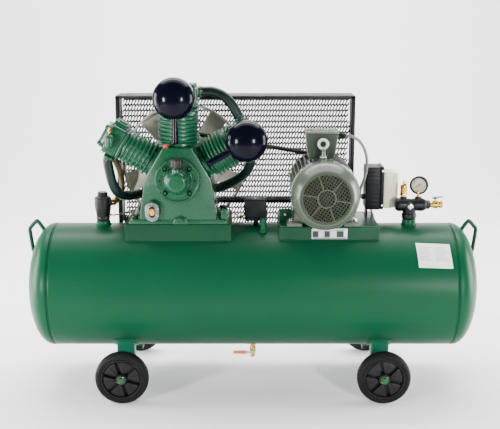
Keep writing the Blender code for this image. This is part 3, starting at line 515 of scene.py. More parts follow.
def make_tank():
    tank = Piece("tank_shell")
    centre = at(0, 0, TANK_Z, RIGHT)
    tank.lathe("tank_green", dished_profile(), centre, steps=144)
    for side in (-1, 1):
        x, radius = side * (TANK_HALF + 0.0045), TANK_R - 0.0048
        seam = [Vector((x, radius * cos(a), TANK_Z + radius * sin(a)))
                for a in (2 * pi * k / 200 for k in range(200))]
        tank.bead("tank_green", seam, 0.0022, seed=5 + side, closed=True)
    for x, lift in ((CHECK_X, 0.0165), (OUTLET_X, 0.022)):
        boss = fillet([(0, lift), (0.026, lift), (0.0275, 0.004), (0.033, -0.003), (0.033, -0.008),
                       (0, -0.008)], 0.003)
        tank.lathe("tank_green", boss, at(x, 0, TANK_TOP), 40)
    drain = fillet([(0, -0.01), (0.018, -0.01), (0.019, 0.0), (0.024, 0.006), (0, 0.006)], 0.002)
    tank.lathe("tank_green", drain, at(0, 0, TANK_LOW), 32)
    tank.done(replaces=["tank"])


def make_handles():
    bends = ((0.815, 0.605), (0.836, 0.634), (0.845, 0.6345), (0.869, 0.608), (0.8699, 0.598),
             (0.8605, 0.516))
    for name, side in (("left", -1), ("right", 1)):
        handle = Piece("handle_bar_" + name)
        handle.pipe("sheet_green", smooth_route([(side * x, 0, z) for x, z in bends], 8), 0.0076, 18)
        for x, z, turn in ((0.8125, 0.6015, 32), (0.8575, 0.513, 68)):
            pad = at(side * x, 0, z, spin("Y", side * turn))
            handle.lathe("sheet_green",
                         fillet([(0, 0.006), (0.0082, 0.006), (0.0125, 0.0005), (0.0125, -0.003),
                                 (0, -0.003)], 0.002, 3), pad, 28)
        handle.done(replaces=["handle_" + name])


def make_leg(place, side_x, side_y):
    """A folded channel welded under the tank, with its pad, axle bolt, washer and split pin."""
    leg = Piece("leg_channel_" + place)
    x, front = side_x * WHEEL_X, LEG_Y * side_y
    flip = 1 if side_y < 0 else -1
    half, depth, sheet = 0.034, 0.045, 0.005
    outer = [(-half, depth), (-half, 0), (half, 0), (half, depth)]
    inner = [(half - sheet, depth), (half - sheet, sheet), (sheet - half, sheet), (sheet - half, depth)]
    outline = fillet(outer, 0.008, 5) + fillet(inner, 0.003, 3)
    outline = [(px, py * flip) for px, py in outline]
    top = TANK_Z - sqrt(TANK_R ** 2 - (LEG_Y + 0.004) ** 2) + 0.004
    leg.prism("leg_green", outline, 0.066, top, at(x, front, 0), bevel=0.0008, segments=1, angle=60)
    bm, grid = bmesh.new(), []
    for lift in (0.0005, 0.0034):
        sheet_rows = []
        for k in range(9):
            y = LEG_Y - 0.052 + 0.062 * k / 8
            z = TANK_Z - sqrt((TANK_R + lift) ** 2 - y ** 2)
            sheet_rows.append([bm.verts.new((x + px, side_y * y, z)) for px in (-0.044, 0.044)])
        grid.append(sheet_rows)
    for a, b in zip(*grid):
        bm.faces.new((a[0], b[0], b[1], a[1]))
    for rows in grid:
        for a, b in zip(rows, rows[1:]):
            bridge(bm, a, b, around=False)
    for side in (0, 1):
        for k in range(8):
            bm.faces.new((grid[0][k][side], grid[0][k + 1][side], grid[1][k + 1][side], grid[1][k][side]))
    leg.add(bm, "leg_green")
    foot = straight((x - half, front, top - 0.006), (x + half, front, top - 0.006), 14)
    leg.bead("leg_green", foot, 0.0032, seed=11)
    out = FRONT if side_y < 0 else BACK
    hub = at(x, side_y * (WHEEL_Y + 0.029), WHEEL_R, out)
    leg.lathe("machined", stub(0.0095, 0.0095, -0.168, 0.0), hub, 24)
    spacer = fillet([(0.0097, -0.1445), (0.014, -0.1445), (0.014, -0.056), (0.0097, -0.056)], 0.0008, 2,
                    True)
    leg.lathe("leg_green", spacer, hub, 28, closed=True)
    leg.lathe("cast_green", fillet(stub(0.0158, 0.0158, 0.002, 0), 0.0006, 2), hub, 28)
    leg.bolt("cast_green", hub @ at(0, 0, 0.002), 0.019, 0.007)
    pin = [(0.015, 0.003, 0.004), (0.012, 0.0, 0.005), (0.011, 0, 0.0062), (-0.0105, 0.002, 0.006),
           (-0.012, 0.004, 0.005), (-0.0145, 0.009, 0.003)]
    turned = hub @ Matrix.Rotation(0.9, 4, "Z")
    leg.pipe("brass", smooth_route(pin, 6), 0.0011, 8, turned)
    leg.ring("brass", 0.003, 0.001, turned @ at(0.0158, 0.0015, 0.004, spin("X", 90)), 16, 8)
    leg.done(replaces=["leg_" + place])


def wheel_centre(side_x, side_y):
    return at(side_x * WHEEL_X, side_y * WHEEL_Y, WHEEL_R, FRONT if side_y < 0 else BACK)


def make_tyre(place, side_x, side_y):
    centre = wheel_centre(side_x, side_y)
    radius, half = WHEEL_R, WHEEL_HALF
    tyre = Piece("tyre_rubber_" + place)
    profile = [(0.0772, half - 0.004), (0.0785, half - 0.002), (0.0845, half - 0.0014),
               (0.0855, half - 0.0024), (0.0866, half - 0.0024), (0.0874, half - 0.001),
               (0.0905, half - 0.0026), (0.0955, half - 0.0066), (0.0985, 0.014), (0.0997, 0.009),
               (radius, 0.003), (radius, -0.003), (0.0997, -0.009), (0.0985, -0.014),
               (0.0955, 0.0066 - half), (0.0905, 0.0026 - half), (0.0874, 0.001 - half),
               (0.0845, 0.0014 - half), (0.0772, 0.004 - half)]
    tyre.lathe("tyre", profile, centre, 72, closed=True)
    tyre.done("wheel_" + place, ["tyre_" + place])


def make_hub(place, side_x, side_y):
    centre, half = wheel_centre(side_x, side_y), WHEEL_HALF
    hub = Piece("wheel_moulding_" + place)
    rim = fillet([(0.0769, half - 0.003), (0.0752, half - 0.0012), (0.0718, half - 0.0016),
                  (0.0699, half - 0.006), (0.069, 0.007), (0.069, -0.007), (0.0699, 0.006 - half),
                  (0.0718, 0.003 - half), (0.0765, 0.004 - half)], 0.0015, 3, closed=True)
    hub.lathe("nylon", rim, centre, 60, closed=True)
    boss = fillet([(0.0103, half + 0.0025), (0.0185, half + 0.0025), (0.0215, half - 0.001),
                   (0.0235, 0.004), (0.0235, -0.004), (0.02, -half), (0.0103, -half)], 0.0015, 3,
                  closed=True)
    hub.lathe("nylon", boss, centre, 40, closed=True)
    hub.lathe("nylon", [(0.0215, 0.0035), (0.0699, 0.0035), (0.0699, -0.0035), (0.0215, -0.0035)], centre,
              60, closed=True)
    for k in range(6):
        turn = centre @ spin("Z", 60 * k + 45)
        gap, inner, outer = 0.0068, 0.0235, 0.0673
        first, last = asin(gap / outer), radians(60) - asin(gap / outer)
        near, far = asin(gap / inner), radians(60) - asin(gap / inner)
        pad = [polar(outer, a) for a in (first + (last - first) * i / 8 for i in range(9))]
        pad += [polar(inner, a) for a in (far + (near - far) * i / 4 for i in range(5))]
        for low, high in ((0.003, half - 0.0055), (0.0055 - half, -0.003)):
            hub.prism("nylon", fillet(pad, 0.002, 2, True), low, high, turn, bevel=0.001, segments=2,
                      angle=50)
        rib = [(0.0215, -0.0016), (0.0702, -0.0012), (0.0702, 0.0012), (0.0215, 0.0016)]
        middle = centre @ spin("Z", 60 * k + 75)
        hub.prism("nylon", rib, 0.003 - half, half - 0.004, middle, bevel=0.0007)
    hub.done("wheel_" + place, ["wheel_hub_" + place])


# ---------------------------------------------------------------- bases

def make_base(name, node, along, across, top):
    """A plate folded down at its front and back and welded to the tank."""
    base = Piece(name)
    sheet = 0.005
    front, back = across
    low_front, low_back = tank_surface(front) + 0.0005, tank_surface(back) + 0.0005
    outer = fillet([(front, low_front), (front, top), (back, top), (back, low_back)], 0.008, 5)
    inner = fillet([(back - sheet, low_back), (back - sheet, top - sheet), (front + sheet, top - sheet),
                    (front + sheet, low_front)], 0.004, 4)
    across_x = Matrix(((0, 0, 1, 0), (1, 0, 0, 0), (0, 1, 0, 0), (0, 0, 0, 1)))
    base.prism("sheet_green", outer + inner, along[0], along[1], across_x, bevel=0.0009, segments=1,
               angle=60)
    for k, x in enumerate((along[0] + 0.012, along[1] - 0.055)):
        bead = straight((x, front, low_front), (x + 0.045, front, low_front), 12)
        base.bead("sheet_green", bead, 0.003, seed=21 + k)
        bead = straight((x, back, low_back), (x + 0.045, back, low_back), 12)
        base.bead("sheet_green", bead, 0.003, seed=31 + k)
    base.done(replaces=[node])


def make_data_plate():
    """A blank data plate: a metal plate with three dark fields, pale bars and two dark rules."""
    plate = Piece("motor_base_plate")
    face = at(0.2885, -0.1252, 0.616, FRONT)
    plate.prism("plate", rectangle(0.067, 0.02, 0.002, 3), 0.0, 0.0009, face, bevel=0.0002)
    for x, width in ((-0.053, 0.022), (-0.009, 0.021), (0.04, 0.027)):
        plate.block("ink", (x - width / 2, -0.0135, 0.0009), (x + width / 2, 0.0105, 0.0012), face,
                    0.0001, 1)
    for x in (-0.031, 0.013):
        plate.block("pale_ink", (x - 0.007, -0.006, 0.0009), (x + 0.007, -0.002, 0.0012), face, 0.0001, 1)
        plate.block("pale_ink", (x - 0.007, 0.003, 0.0009), (x + 0.007, 0.006, 0.0012), face, 0.0001, 1)
    plate.block("ink", (0.022, 0.0125, 0.0009), (0.062, 0.0155, 0.0012), face, 0.0001, 1)
    plate.block("ink", (-0.062, -0.0185, 0.0009), (0.062, -0.0155, 0.0012), face, 0.0001, 1)
    plate.done()


def make_blank_label():
    """A blank white sticker on the tank's right, with pale rules and no lettering."""
    label = Piece("blank_label")
    low, high, left, right = 0.507, 0.583, 0.611, 0.737

    def patch(material, x0, x1, z0, z1, lift, rows):
        bm, grid = bmesh.new(), []
        for i in range(rows + 1):
            z = z0 + (z1 - z0) * i / rows
            line = []
            for x in (x0, x1):
                drop = z - (x - left) * 0.03
                line.append(bm.verts.new((x + (high - z) * 0.06,
                                          -sqrt((TANK_R + lift) ** 2 - (drop - TANK_Z) ** 2), drop)))
            grid.append(line)
        for a, b in zip(grid, grid[1:]):
            bridge(bm, a, b, around=False)
        label.add(bm, material)

    patch("paper", left, right, low, high, 0.0006, 14)
    for column in (0, 1):
        x = left + 0.007 + column * 0.06
        for row in range(8):
            z = high - 0.011 - row * 0.0056
            width = 0.05 - 0.012 * ((row * 7 + column * 3) % 4) / 3
            patch("pale_ink", x, x + width, z - 0.0012, z + 0.0012, 0.0009, 1)
    label.done()


# ---------------------------------------------------------------- pump

def on_cylinder(tilt, height=0.0, y=0.0, across=0.0):
    """Z out along a cylinder, X across it in the front plane, origin at a height on it."""
    turn = spin("Y", tilt)
    return at(CRANK.x, CYLINDER_Y, CRANK.z) @ turn @ at(across, y, height)


def make_crankcase():
    case = Piece("crankcase_casting")
    middle = (CASE_FRONT + CASE_BACK) / 2
    reach = (CASE_BACK - CASE_FRONT) / 2
    right = [(0.1445, -0.15), (0.125, 0.001), (0.055, 0.12)]
    outline = fillet(right + [(-x, z) for x, z in reversed(right)], 0.007, 4, True)
    centre = at(CRANK.x, middle, CRANK.z, FRONT)
    case.prism("cast_green", outline, -reach, reach, centre, bevel=0.0095, segments=2, angle=60)
    foot_low, foot_high = PUMP_BASE_TOP + 0.0004 - CRANK.z, -0.148
    foot = fillet([(0.186, foot_low), (0.186, foot_high - 0.01), (0.168, foot_high), (-0.168, foot_high),
                   (-0.186, foot_high - 0.01), (-0.186, foot_low)], 0.004, 3, True)
    case.prism("cast_green", foot, -reach, reach, centre, bevel=0.003, segments=2, angle=50)
    for side in (-1, 1):
        for y in (-reach + 0.02, reach - 0.02):
            spot = at(CRANK.x + side * 0.163, middle + y, CRANK.z + foot_high - 0.006)
            case.lathe("cast_green", fillet(stub(0.015, 0.017, 0.006, -0.002), 0.002, 3), spot, 28)
            case.bolt("cast_black", spot @ at(0, 0, 0.006), 0.019, 0.01, 0.0125)
        web = [(side * 0.134, foot_high - 0.004), (side * 0.164, foot_high - 0.004),
               (side * 0.132, foot_high + 0.036)]
        case.prism("cast_green", web, -0.006, 0.006, centre, bevel=0.0015)
    for tilt, _, _, out, _ in CYLINDERS.values():
        size = 0.0585
        seat = rectangle(size, 0.08, 0.016, 5)
        case.prism("cast_green", seat, 0.088, CASE_FACE + out, on_cylinder(tilt), bevel=0.002, angle=50)
    glass = at(GLASS_X, CASE_FRONT, GLASS_Z, FRONT)
    case.prism("cast_green", stadium(0.06, 0.084), -0.006, 0.0225, glass, bevel=0.005, segments=3,
               angle=50, top_scale=0.93)
    plug = at(CRANK.x + 0.009, CASE_FRONT, 0.682, FRONT)
    case.prism("cast_green",
               fillet([(-0.031, -0.026), (0.031, -0.026), (0.021, -0.002), (-0.021, -0.002)], 0.006, 4,
                      True), -0.004, 0.0065, plug, bevel=0.0025, angle=50)
    case.bolt("cast_green", plug @ at(0, -0.01, 0.0065), 0.018, 0.008, 0.0125)
    case.block("cast_green", (CRANK.x + 0.16, CASE_FRONT + 0.006, foot_high + CRANK.z - 0.002),
               (CRANK.x + 0.1845, CASE_FRONT + 0.03, foot_high + CRANK.z + 0.034), None, 0.004, 3)
    case.lathe("red", fillet([(0, 0.0135), (0.0085, 0.0135), (0.0105, 0.01), (0.0105, 0), (0, 0)], 0.002,
                             3), at(CRANK.x - 0.043, CASE_FRONT + 0.022, CRANK.z + 0.119), 28)
    case.done(replaces=["crankcase"])


def make_cover():
    cover = Piece("front_cover")
    face = at(CRANK.x, CASE_FRONT - 0.0004, CRANK.z, FRONT)
    profile = fillet([(0, 0.0595), (0.0305, 0.0595), (0.0395, 0.049), (0.0405, 0.028), (0.047, 0.0235),
                      (0.049, 0.015), (0.052, 0.011), (0.054, 0.0086), (0.0745, 0.0082), (0.076, 0.0118),
                      (0.0825, 0.0118), (0.085, 0.005), (0.0855, 0.0)], 0.007, 6)
    cover.lathe("cast_green", profile, face, 88)
    for k in range(4):
        angle = radians(45 + 90 * k)
        spot = face @ at(*polar(0.064, angle), 0.009)
        cover.lathe("cast_green",
                    fillet([(0.0102, 0.0034), (0.013, 0.0034), (0.0146, -0.002), (0.0102, -0.002)], 0.001,
                           3, True), spot, 28, closed=True)
        # painted shade: a near-black disc on each pocket's floor, with the bolt set 1.2 mm outward so the
        # disc shows as a dark shadow crescent on the pocket's inner side
        cover.lathe("gasket_and_painted_shade", [(0, 0.0002), (0.0104, 0.0002)], spot, 24)
        cover.bolt("cast_green", spot @ at(*polar(0.0012, angle), 0.0002), 0.0112, 0.0036)
    # painted shade: two small near-black domes on the flange stand in for the dark inside of two holes
    for side in (-1, 1):
        cover.lathe("gasket_and_painted_shade", [(0, 0.0006), (0.0036, 0.0006), (0.004, -0.001)],
                    face @ at(side * 0.066, 0, 0.0086), 16)
    neck = fillet([(0, 0.046), (0.0165, 0.046), (0.017, 0.02), (0.0235, 0.004), (0, 0.004)], 0.004, 4)
    cover.lathe("cast_green", neck, at(CRANK.x, CASE_FRONT - 0.036, CRANK.z + 0.004), 36)
    cover.done(replaces=["bearing_cover"])


def make_filler_cap():
    cap = Piece("filler_cap")
    profile = fillet([(0, 0.0385), (0.0075, 0.0385), (0.0085, 0.0355), (0.016, 0.0345), (0.0195, 0.031),
                      (0.0198, 0.006), (0.0175, 0.004), (0.014, 0.004), (0.014, 0.0)], 0.0012, 3)
    cap.lathe("cap_brown", profile, at(CRANK.x, CASE_FRONT - 0.036, CRANK.z + 0.0504), 120,
              knurl=(24, 0.0016, 13, 25))
    cap.done(replaces=["breather_cap"])


def make_oil_window():
    glass = Piece("oil_window")
    place = at(GLASS_X, CASE_FRONT - 0.0229, GLASS_Z, FRONT)
    glass.prism("dull_zinc", stadium(0.05, 0.073, 14), 0.0, 0.005, place, bevel=0.0018, segments=3,
                angle=50)
    glass.prism("dull_zinc", stadium(0.034, 0.054, 14), 0.0048, 0.0066, place, bevel=0.0014, segments=2,
                angle=50)
    glass.prism("gasket_and_painted_shade", stadium(0.023, 0.043, 12), 0.0064, 0.007, place)
    glass.prism("amber", stadium(0.018, 0.026, 12), 0.0066, 0.0082, place, bevel=0.0009, segments=2,
                angle=50)
    for x, z in ((0, 0.0315), (0, -0.0315), (0.0205, 0.013), (-0.0205, 0.013), (0.0205, -0.013),
                 (-0.0205, -0.013)):
        glass.lathe("zinc", fillet([(0, 0.0024), (0.0024, 0.0024), (0.0034, 0)], 0.0006, 2),
                    place @ at(x, z, 0.005), 16)
    glass.done(replaces=["sight_glass"])


def clear_reach(height, radius):
    return min(radius, height * tan(radians(30)) - 0.001)


def make_barrel(name):
    tilt, bore, fin, out, _ = CYLINDERS[name]
    barrel = Piece("finned_barrel_" + name)
    start, end, core = CASE_FACE + out + 0.0004, BARREL_END + out - 0.0004, bore + 0.011
    core = max(core, fin - 0.0095)
    pitch, thick = {"left": (0.017, 0.0078), "middle": (0.0148, 0.007), "right": (0.0143, 0.0066)}[name]
    outside = [(fin - 0.004, end), (fin - 0.003, end - 0.003), (fin - 0.003, end - 0.009),
               (core - 0.001, end - 0.011)]
    top = end - 0.0165
    while top - thick > start + 0.013:
        reach = clear_reach(top - thick, fin)
        root = min(core, reach - 0.0045)
        outside += [(root, top + 0.0012), (reach - 0.0026, top - 0.0002), (reach - 0.0007, top - 0.0014),
                    (reach, top - thick / 2), (reach - 0.0007, top - thick + 0.0014),
                    (reach - 0.0026, top - thick + 0.0002), (root, top - thick - 0.0012)]
        top -= pitch
    reach = clear_reach(start, fin)
    outside += [(min(core, reach - 0.003), start + 0.011), (reach, start + 0.009), (reach, start)]
    profile = [(bore, end), *outside, (bore, start)]
    barrel.lathe("fin_green", profile, on_cylinder(tilt), 96, closed=True)
    for k in range(4):
        angle = radians(45 + 90 * k)
        reach = 0.0535 if bore > 0.04 else 0.051
        spot = on_cylinder(tilt) @ at(reach * cos(angle), reach * sin(angle) * 1.12, start + 0.0085)
        barrel.bolt("fin_green", spot, 0.0135, 0.008, 0.009)
    if name == "left":
        for side in (-1, 1):
            barrel.block("fin_green", (side * 0.019 - 0.0011, -fin + 0.0006, start + 0.018),
                         (side * 0.019 + 0.0011, -fin + 0.007, end - 0.012), on_cylinder(tilt), 0.0008)
    barrel.done(replaces=["cylinder_" + name])


def add_lidded_top(head, base, half, start, end, top):
    """The left head's lid, with its posts, hump, window and two lugs."""
    lid = rectangle(half - 0.012, 0.058, 0.014, 5)
    head.prism("cast_green", lid, end - top - 0.004, end - 0.006, base, bevel=0.007, segments=3, angle=50,
               top_scale=0.88)
    for x, y, r in ((-0.034, -0.046, 0.013), (0.034, -0.046, 0.013), (-0.034, 0.046, 0.013),
                    (0.034, 0.046, 0.013)):
        post = fillet(stub(r * 0.8, r, end - 0.012, start + 0.018), 0.003, 3)
        head.lathe("cast_green", post, base @ at(x, y, 0), 28)
        head.bolt("cast_green", base @ at(x, y, end - 0.012), 0.0145, 0.007)
    lug = fillet([(-0.017, 0), (0.017, 0), (0.017, 0.03), (0.008, 0.044), (-0.008, 0.044),
                  (-0.017, 0.03)], 0.008, 4, True)
    hump = fillet([(half - 0.006, -0.05), (half + 0.014, -0.044), (half + 0.014, 0.036),
                   (half - 0.006, 0.044)], 0.007, 4, True)
    head.prism("cast_green", hump, start + 0.02, end - 0.026, base, bevel=0.0045, segments=3, angle=50)
    window = rectangle(0.03, 0.016, 0.005, 4)
    sideways = at(half + 0.014, -0.004, start + 0.045, spin("Y", 90) @ spin("Z", 90))
    head.prism("cast_green", window, 0, 0.0045, base @ sideways, bevel=0.0018, angle=50)
    for y in (-0.05, 0.028):
        head.prism("cast_green", lug, y, y + 0.02,
                   base @ at(-half + 0.01, 0, start + 0.03, FRONT @ spin("Z", 90)), bevel=0.004,
                   segments=3, angle=50)


def add_ribbed_top(head, base, half, start, end):
    """The six ribs and the six bolted posts of a large head."""
    for k in range(6):
        y = -0.05 + 0.1 * k / 5
        head.block("cast_green", (-half + 0.014, y - 0.0026, end - 0.016),
                   (half - 0.014, y + 0.0026, end - 0.0012), base, 0.0018)
    for k in range(6):
        y = (-0.046, 0.0, 0.046)[k // 2]
        x = (half - 0.017) * (1 if k % 2 else -1)
        post = fillet(stub(0.0105, 0.0125, end - 0.008, start + 0.014), 0.002, 3)
        head.lathe("cast_green", post, base @ at(x, y, 0), 28)
        head.bolt("cast_green", base @ at(x, y, end - 0.008), 0.0145, 0.0068)


def make_head(name):
    tilt, _, _, out, half = CYLINDERS[name]
    head = Piece("cylinder_head_" + name)
    half, start, end = half - 0.0006, BARREL_END + out + 0.0004, HEAD_END + out
    base = on_cylinder(tilt)
    plate = rectangle(half, 0.07, 0.014, 5)
    if name == "left":
        plate = [(x * 0.93, y * 0.93) for x, y in plate]
    head.prism("gasket_and_painted_shade", [(x * 0.985, y * 0.985) for x, y in plate], start, start + 0.0014, base)
    head.prism("cast_green", plate, start + 0.0014, start + 0.013, base, bevel=0.0022, angle=50)
    head.prism("gasket_and_painted_shade", [(x * 0.985, y * 0.985) for x, y in plate], start + 0.013, start + 0.0142, base)
    body = rectangle(half - 0.003, 0.066, 0.016, 6)
    top = 0.03 if name == "left" else 0.012
    head.prism("cast_green", body, start + 0.0142, end - top, base, bevel=0.005, segments=3, angle=50)
    if name == "left":
        add_lidded_top(head, base, half, start, end, top)
    else:
        add_ribbed_top(head, base, half, start, end)
    for side in (-1, 1):
        for low in (start + 0.024, start + 0.04, start + 0.056):
            if low + 0.006 > end - top:
                continue
            head.block("cast_green", (side * half - 0.004, -0.048, low),
                       (side * half + 0.0006, 0.048, low + 0.004), base, 0.0012)
    head.done(replaces=["head_" + name])


def make_head_fittings():
    """The flanges of the air pipes, and the left head's brass elbow and small valve bonnet."""
    parts = Piece("pipe_flanges")
    for x, y, z, turn in ((-0.204, -0.01, 1.139, 90), (-0.0483, -0.01, 1.0356, -30),
                          (-0.0155, 0.0, 0.8929, 150), (-0.5395, -0.055, 0.9015, 210)):
        place = at(x, y, z) @ spin("Y", turn)
        flange = fillet([(-0.0185, -0.033), (0.0185, -0.033), (0.0225, 0), (0.0185, 0.033),
                         (-0.0185, 0.033), (-0.0225, 0)], 0.012, 4, True)
        parts.prism("cast_green", flange, -0.0008, 0.009, place, bevel=0.002, angle=50)
        for side in (-1, 1):
            parts.bolt("cast_green", place @ at(0, side * 0.0255, 0.009), 0.0115, 0.006)
        parts.ring("pipe_green", 0.0188, 0.0026, place @ at(0, 0, 0.0098), 36, 10)
    parts.nut("cast_green", 0.015, -0.001, 0.01, at(-0.5282, 0.026, 0.895) @ spin("Y", 210), bevel=0.0015)
    bonnet = at(-0.531, -0.108, 0.941)
    profile = fillet([(0, 0.046), (0.011, 0.046), (0.0165, 0.04), (0.018, 0.03), (0.018, 0.006),
                      (0.013, 0.0), (0, 0.0)], 0.003, 4)
    parts.lathe("cast_green", profile, bonnet, 40)
    parts.lathe("cast_green", [(0, 0.036), (0.01, 0.036), (0.01, 0.0), (0, 0)],
                bonnet @ at(0, 0, 0.022, BACK), 24)
    elbow = at(-0.531, -0.098, 0.986)
    parts.lathe("cast_green", stub(0.007, 0.007, 0.004, -0.01), elbow, 20)
    parts.nut("brass", 0.0068, 0.0, 0.009, elbow, bevel=0.0008)
    parts.lathe("brass", fillet([(0, 0.028), (0.0036, 0.028), (0.005, 0.024), (0.005, 0.009), (0, 0.009)],
                                0.001, 3), elbow, 20)
    parts.nut("brass", 0.0062, 0.002, 0.013, elbow @ at(0, 0, 0.0165, FRONT), bevel=0.0008)
    parts.done()


def make_filter(name):
    tilt = CYLINDERS[name][0]
    x, z = FILTERS[name]
    filter_piece = Piece("intake_filter_" + name)
    radius = 0.0768
    dome = [(radius * cos(radians(a)), 0.0845 - 0.054 + 0.054 * sin(radians(a))) for a in range(0, 91, 5)]
    dome[-1] = (0, dome[-1][1])
    profile = list(reversed(dome)) + [(radius, 0.022), (radius - 0.0014, 0.0208),
            (radius - 0.0014, 0.0188), (radius, 0.0176), (radius, 0.006), (radius - 0.006, 0.0012),
            (0.03, 0.0), (0.022, -0.002), (0.022, -0.037), (0, -0.037)]
    filter_piece.lathe("filter_black", profile, at(x, -0.1297, z, FRONT), 96)
    spout = at(x + (0.0038 if name == "middle" else 0), -0.17, z, spin("Y", tilt + 180))
    tube = fillet([(0, 0.1635), (0.0105, 0.1635), (0.0133, 0.1605), (0.0133, 0.156), (0.0127, 0.1545),
                   (0.0127, 0.05), (0, 0.05)], 0.0012, 3)
    filter_piece.lathe("filter_black", tube, spout, 36)
    filter_piece.lathe("gasket_and_painted_shade", [(0, 0.1637), (0.0092, 0.1637)], spout, 28)
    filter_piece.done(replaces=["air_filter_" + name])


PIPE_UPPER = [
    (-0.2025, -0.01, 1.139), (-0.183, -0.01, 1.1395), (-0.15, -0.01, 1.1385), (-0.112, -0.01, 1.123),
    (-0.082, -0.01, 1.093), (-0.0595, -0.01, 1.055), (-0.0495, -0.01, 1.0377),
]
PIPE_LOWER = [
    (-0.0138, 0.0, 0.8899), (-0.0078, 0.0, 0.8795), (-0.01, 0.01, 0.86), (-0.026, 0.035, 0.823),
    (-0.058, 0.07, 0.79), (-0.105, 0.1, 0.76), (-0.16, 0.116, 0.742), (-0.26, 0.119, 0.73),
    (-0.37, 0.119, 0.728), (-0.435, 0.104, 0.726), (-0.476, 0.05, 0.728), (-0.503, 0.0, 0.739),
    (-0.522, -0.03, 0.762), (-0.536, -0.045, 0.8), (-0.543, -0.052, 0.84), (-0.548, -0.055, 0.872),
    (-0.5472, -0.055, 0.8882), (-0.5407, -0.055, 0.8995),
]
PIPE_DISCHARGE = [
    (-0.5299, 0.026, 0.8918), (-0.5344, 0.026, 0.884), (-0.529, 0.034, 0.86), (-0.518, 0.046, 0.825),
    (-0.513, 0.054, 0.785), (-0.515, 0.053, 0.75), (-0.5225, 0.041, 0.727), (-0.533, 0.02, 0.715),
    (-0.54, 0.004, 0.712), (-0.5472, 0.0, 0.712),
]


def make_pipes():
    for name, route in (("upper", PIPE_UPPER), ("lower", PIPE_LOWER)):
        pipe = Piece("intercooler_tube_" + name)
        pipe.pipe("pipe_green", smooth_route(route, 7), 0.0187, 28)
        pipe.done(replaces=["intercooler_pipe_" + name])


def make_discharge_tube():
    tube = Piece("discharge_tube")
    route = smooth_route(PIPE_DISCHARGE, 40)

    def finned(i, count):
        if i < 50 or i > count - 70:
            return 0.0092
        return 0.0122 if (i // 3) % 2 else 0.0086

    tube.pipe("bronze_tube", route, finned, 20)
    for k, half in ((14, 0.008), (len(route) - 32, 0.009)):
        point, ahead = route[k], route[k + 6]
        turn = (ahead - point).to_track_quat("Z", "Y").to_matrix().to_4x4()
        tube.nut("brass", 0.0138, -half, half, Matrix.Translation(point) @ turn, bevel=0.0015)
    tube.done(replaces=["discharge_pipe"])


def make_check_valve():
    valve = Piece("check_valve_body")
    base = at(CHECK_X, 0, TANK_TOP)
    profile = fillet([(0, 0.128), (0.0165, 0.128), (0.0193, 0.1262), (0.0193, 0.113), (0.0215, 0.1105),
                      (0.03, 0.107), (0.0326, 0.101), (0.0322, 0.086), (0.031, 0.066), (0.0262, 0.036),
                      (0.0262, 0.032), (0.0215, 0.028), (0.0215, 0.0165), (0, 0.0165)], 0.0022, 4)
    valve.lathe("cast_black", profile, base, 64)
    valve.nut("cast_black", 0.0268, 0.018, 0.032, base, bevel=0.0018, start=0.3)
    for k in range(3):
        valve.ring("cast_black", 0.0194, 0.0009, base @ at(0, 0, 0.116 + 0.003 * k), 40, 8)
    valve.lathe("cast_black",
                fillet([(0, 0.033), (0.015, 0.033), (0.0165, 0.026), (0.0165, 0.018), (0, 0.018)], 0.002,
                       3), base @ at(0, 0, 0.087, RIGHT), 36)
    valve.nut("brass", 0.0052, 0.022, 0.032, base @ at(0, 0, 0.036, RIGHT), bevel=0.0006)
    valve.done(replaces=["check_valve"])


def make_unloader_tube():
    tube = Piece("unloader_tube")
    route = [(-0.55, 0.0, 0.661), (-0.53, 0.004, 0.661), (-0.505, 0.04, 0.66), (-0.487, 0.11, 0.655),
             (-0.465, 0.142, 0.65), (-0.38, 0.147, 0.642), (-0.2, 0.147, 0.641), (-0.09, 0.14, 0.64),
             (-0.06, 0.08, 0.64), (-0.05, 0.02, 0.646), (-0.045, 0.004, 0.655), (-0.036, 0.003, 0.66)]
    tube.pipe("copper", smooth_route(route, 8), 0.003, 12)
    tube.done()


# ---------------------------------------------------------------- belt drive

def pulley_profile(pitch, hub, bore, hub_front, hub_back, rim_inner=0.021):
    rise, depth, half, edge, slope = 0.0055, 0.0085, 0.007, 0.0125, tan(radians(19))
    wide, narrow = half + rise * slope, half - depth * slope
    outer, bottom = pitch + rise, pitch - depth
    points = [(outer - 0.0015, -edge), (outer, 0.0015 - edge)]
    for k in range(3):
        y = k * BELT_PITCH
        points += [(outer, y - wide - 0.0006), (outer - 0.0006, y - wide), (bottom, y - narrow),
                   (bottom, y + narrow), (outer - 0.0006, y + wide), (outer, y + wide + 0.0006)]
    back = 2 * BELT_PITCH + edge
    points += [(outer, back - 0.0015), (outer - 0.0015, back)]
    inner, web = pitch - rim_inner, (back - edge) / 2
    points += [(inner + 0.003, back), (inner, back - 0.004), (inner - 0.003, web + 0.012),
               (inner - 0.012, web + 0.006), (hub + 0.006, web + 0.007), (hub, web + 0.013),
               (hub - 0.002, hub_back - 0.001), (hub - 0.004, hub_back), (bore, hub_back),
               (bore, hub_front), (hub - 0.004, hub_front), (hub - 0.002, hub_front + 0.001),
               (hub, web - 0.013), (hub + 0.006, web - 0.007), (inner - 0.012, web - 0.006),
               (inner - 0.003, web - 0.012), (inner, 0.004 - edge), (inner + 0.003, -edge)]
    return points


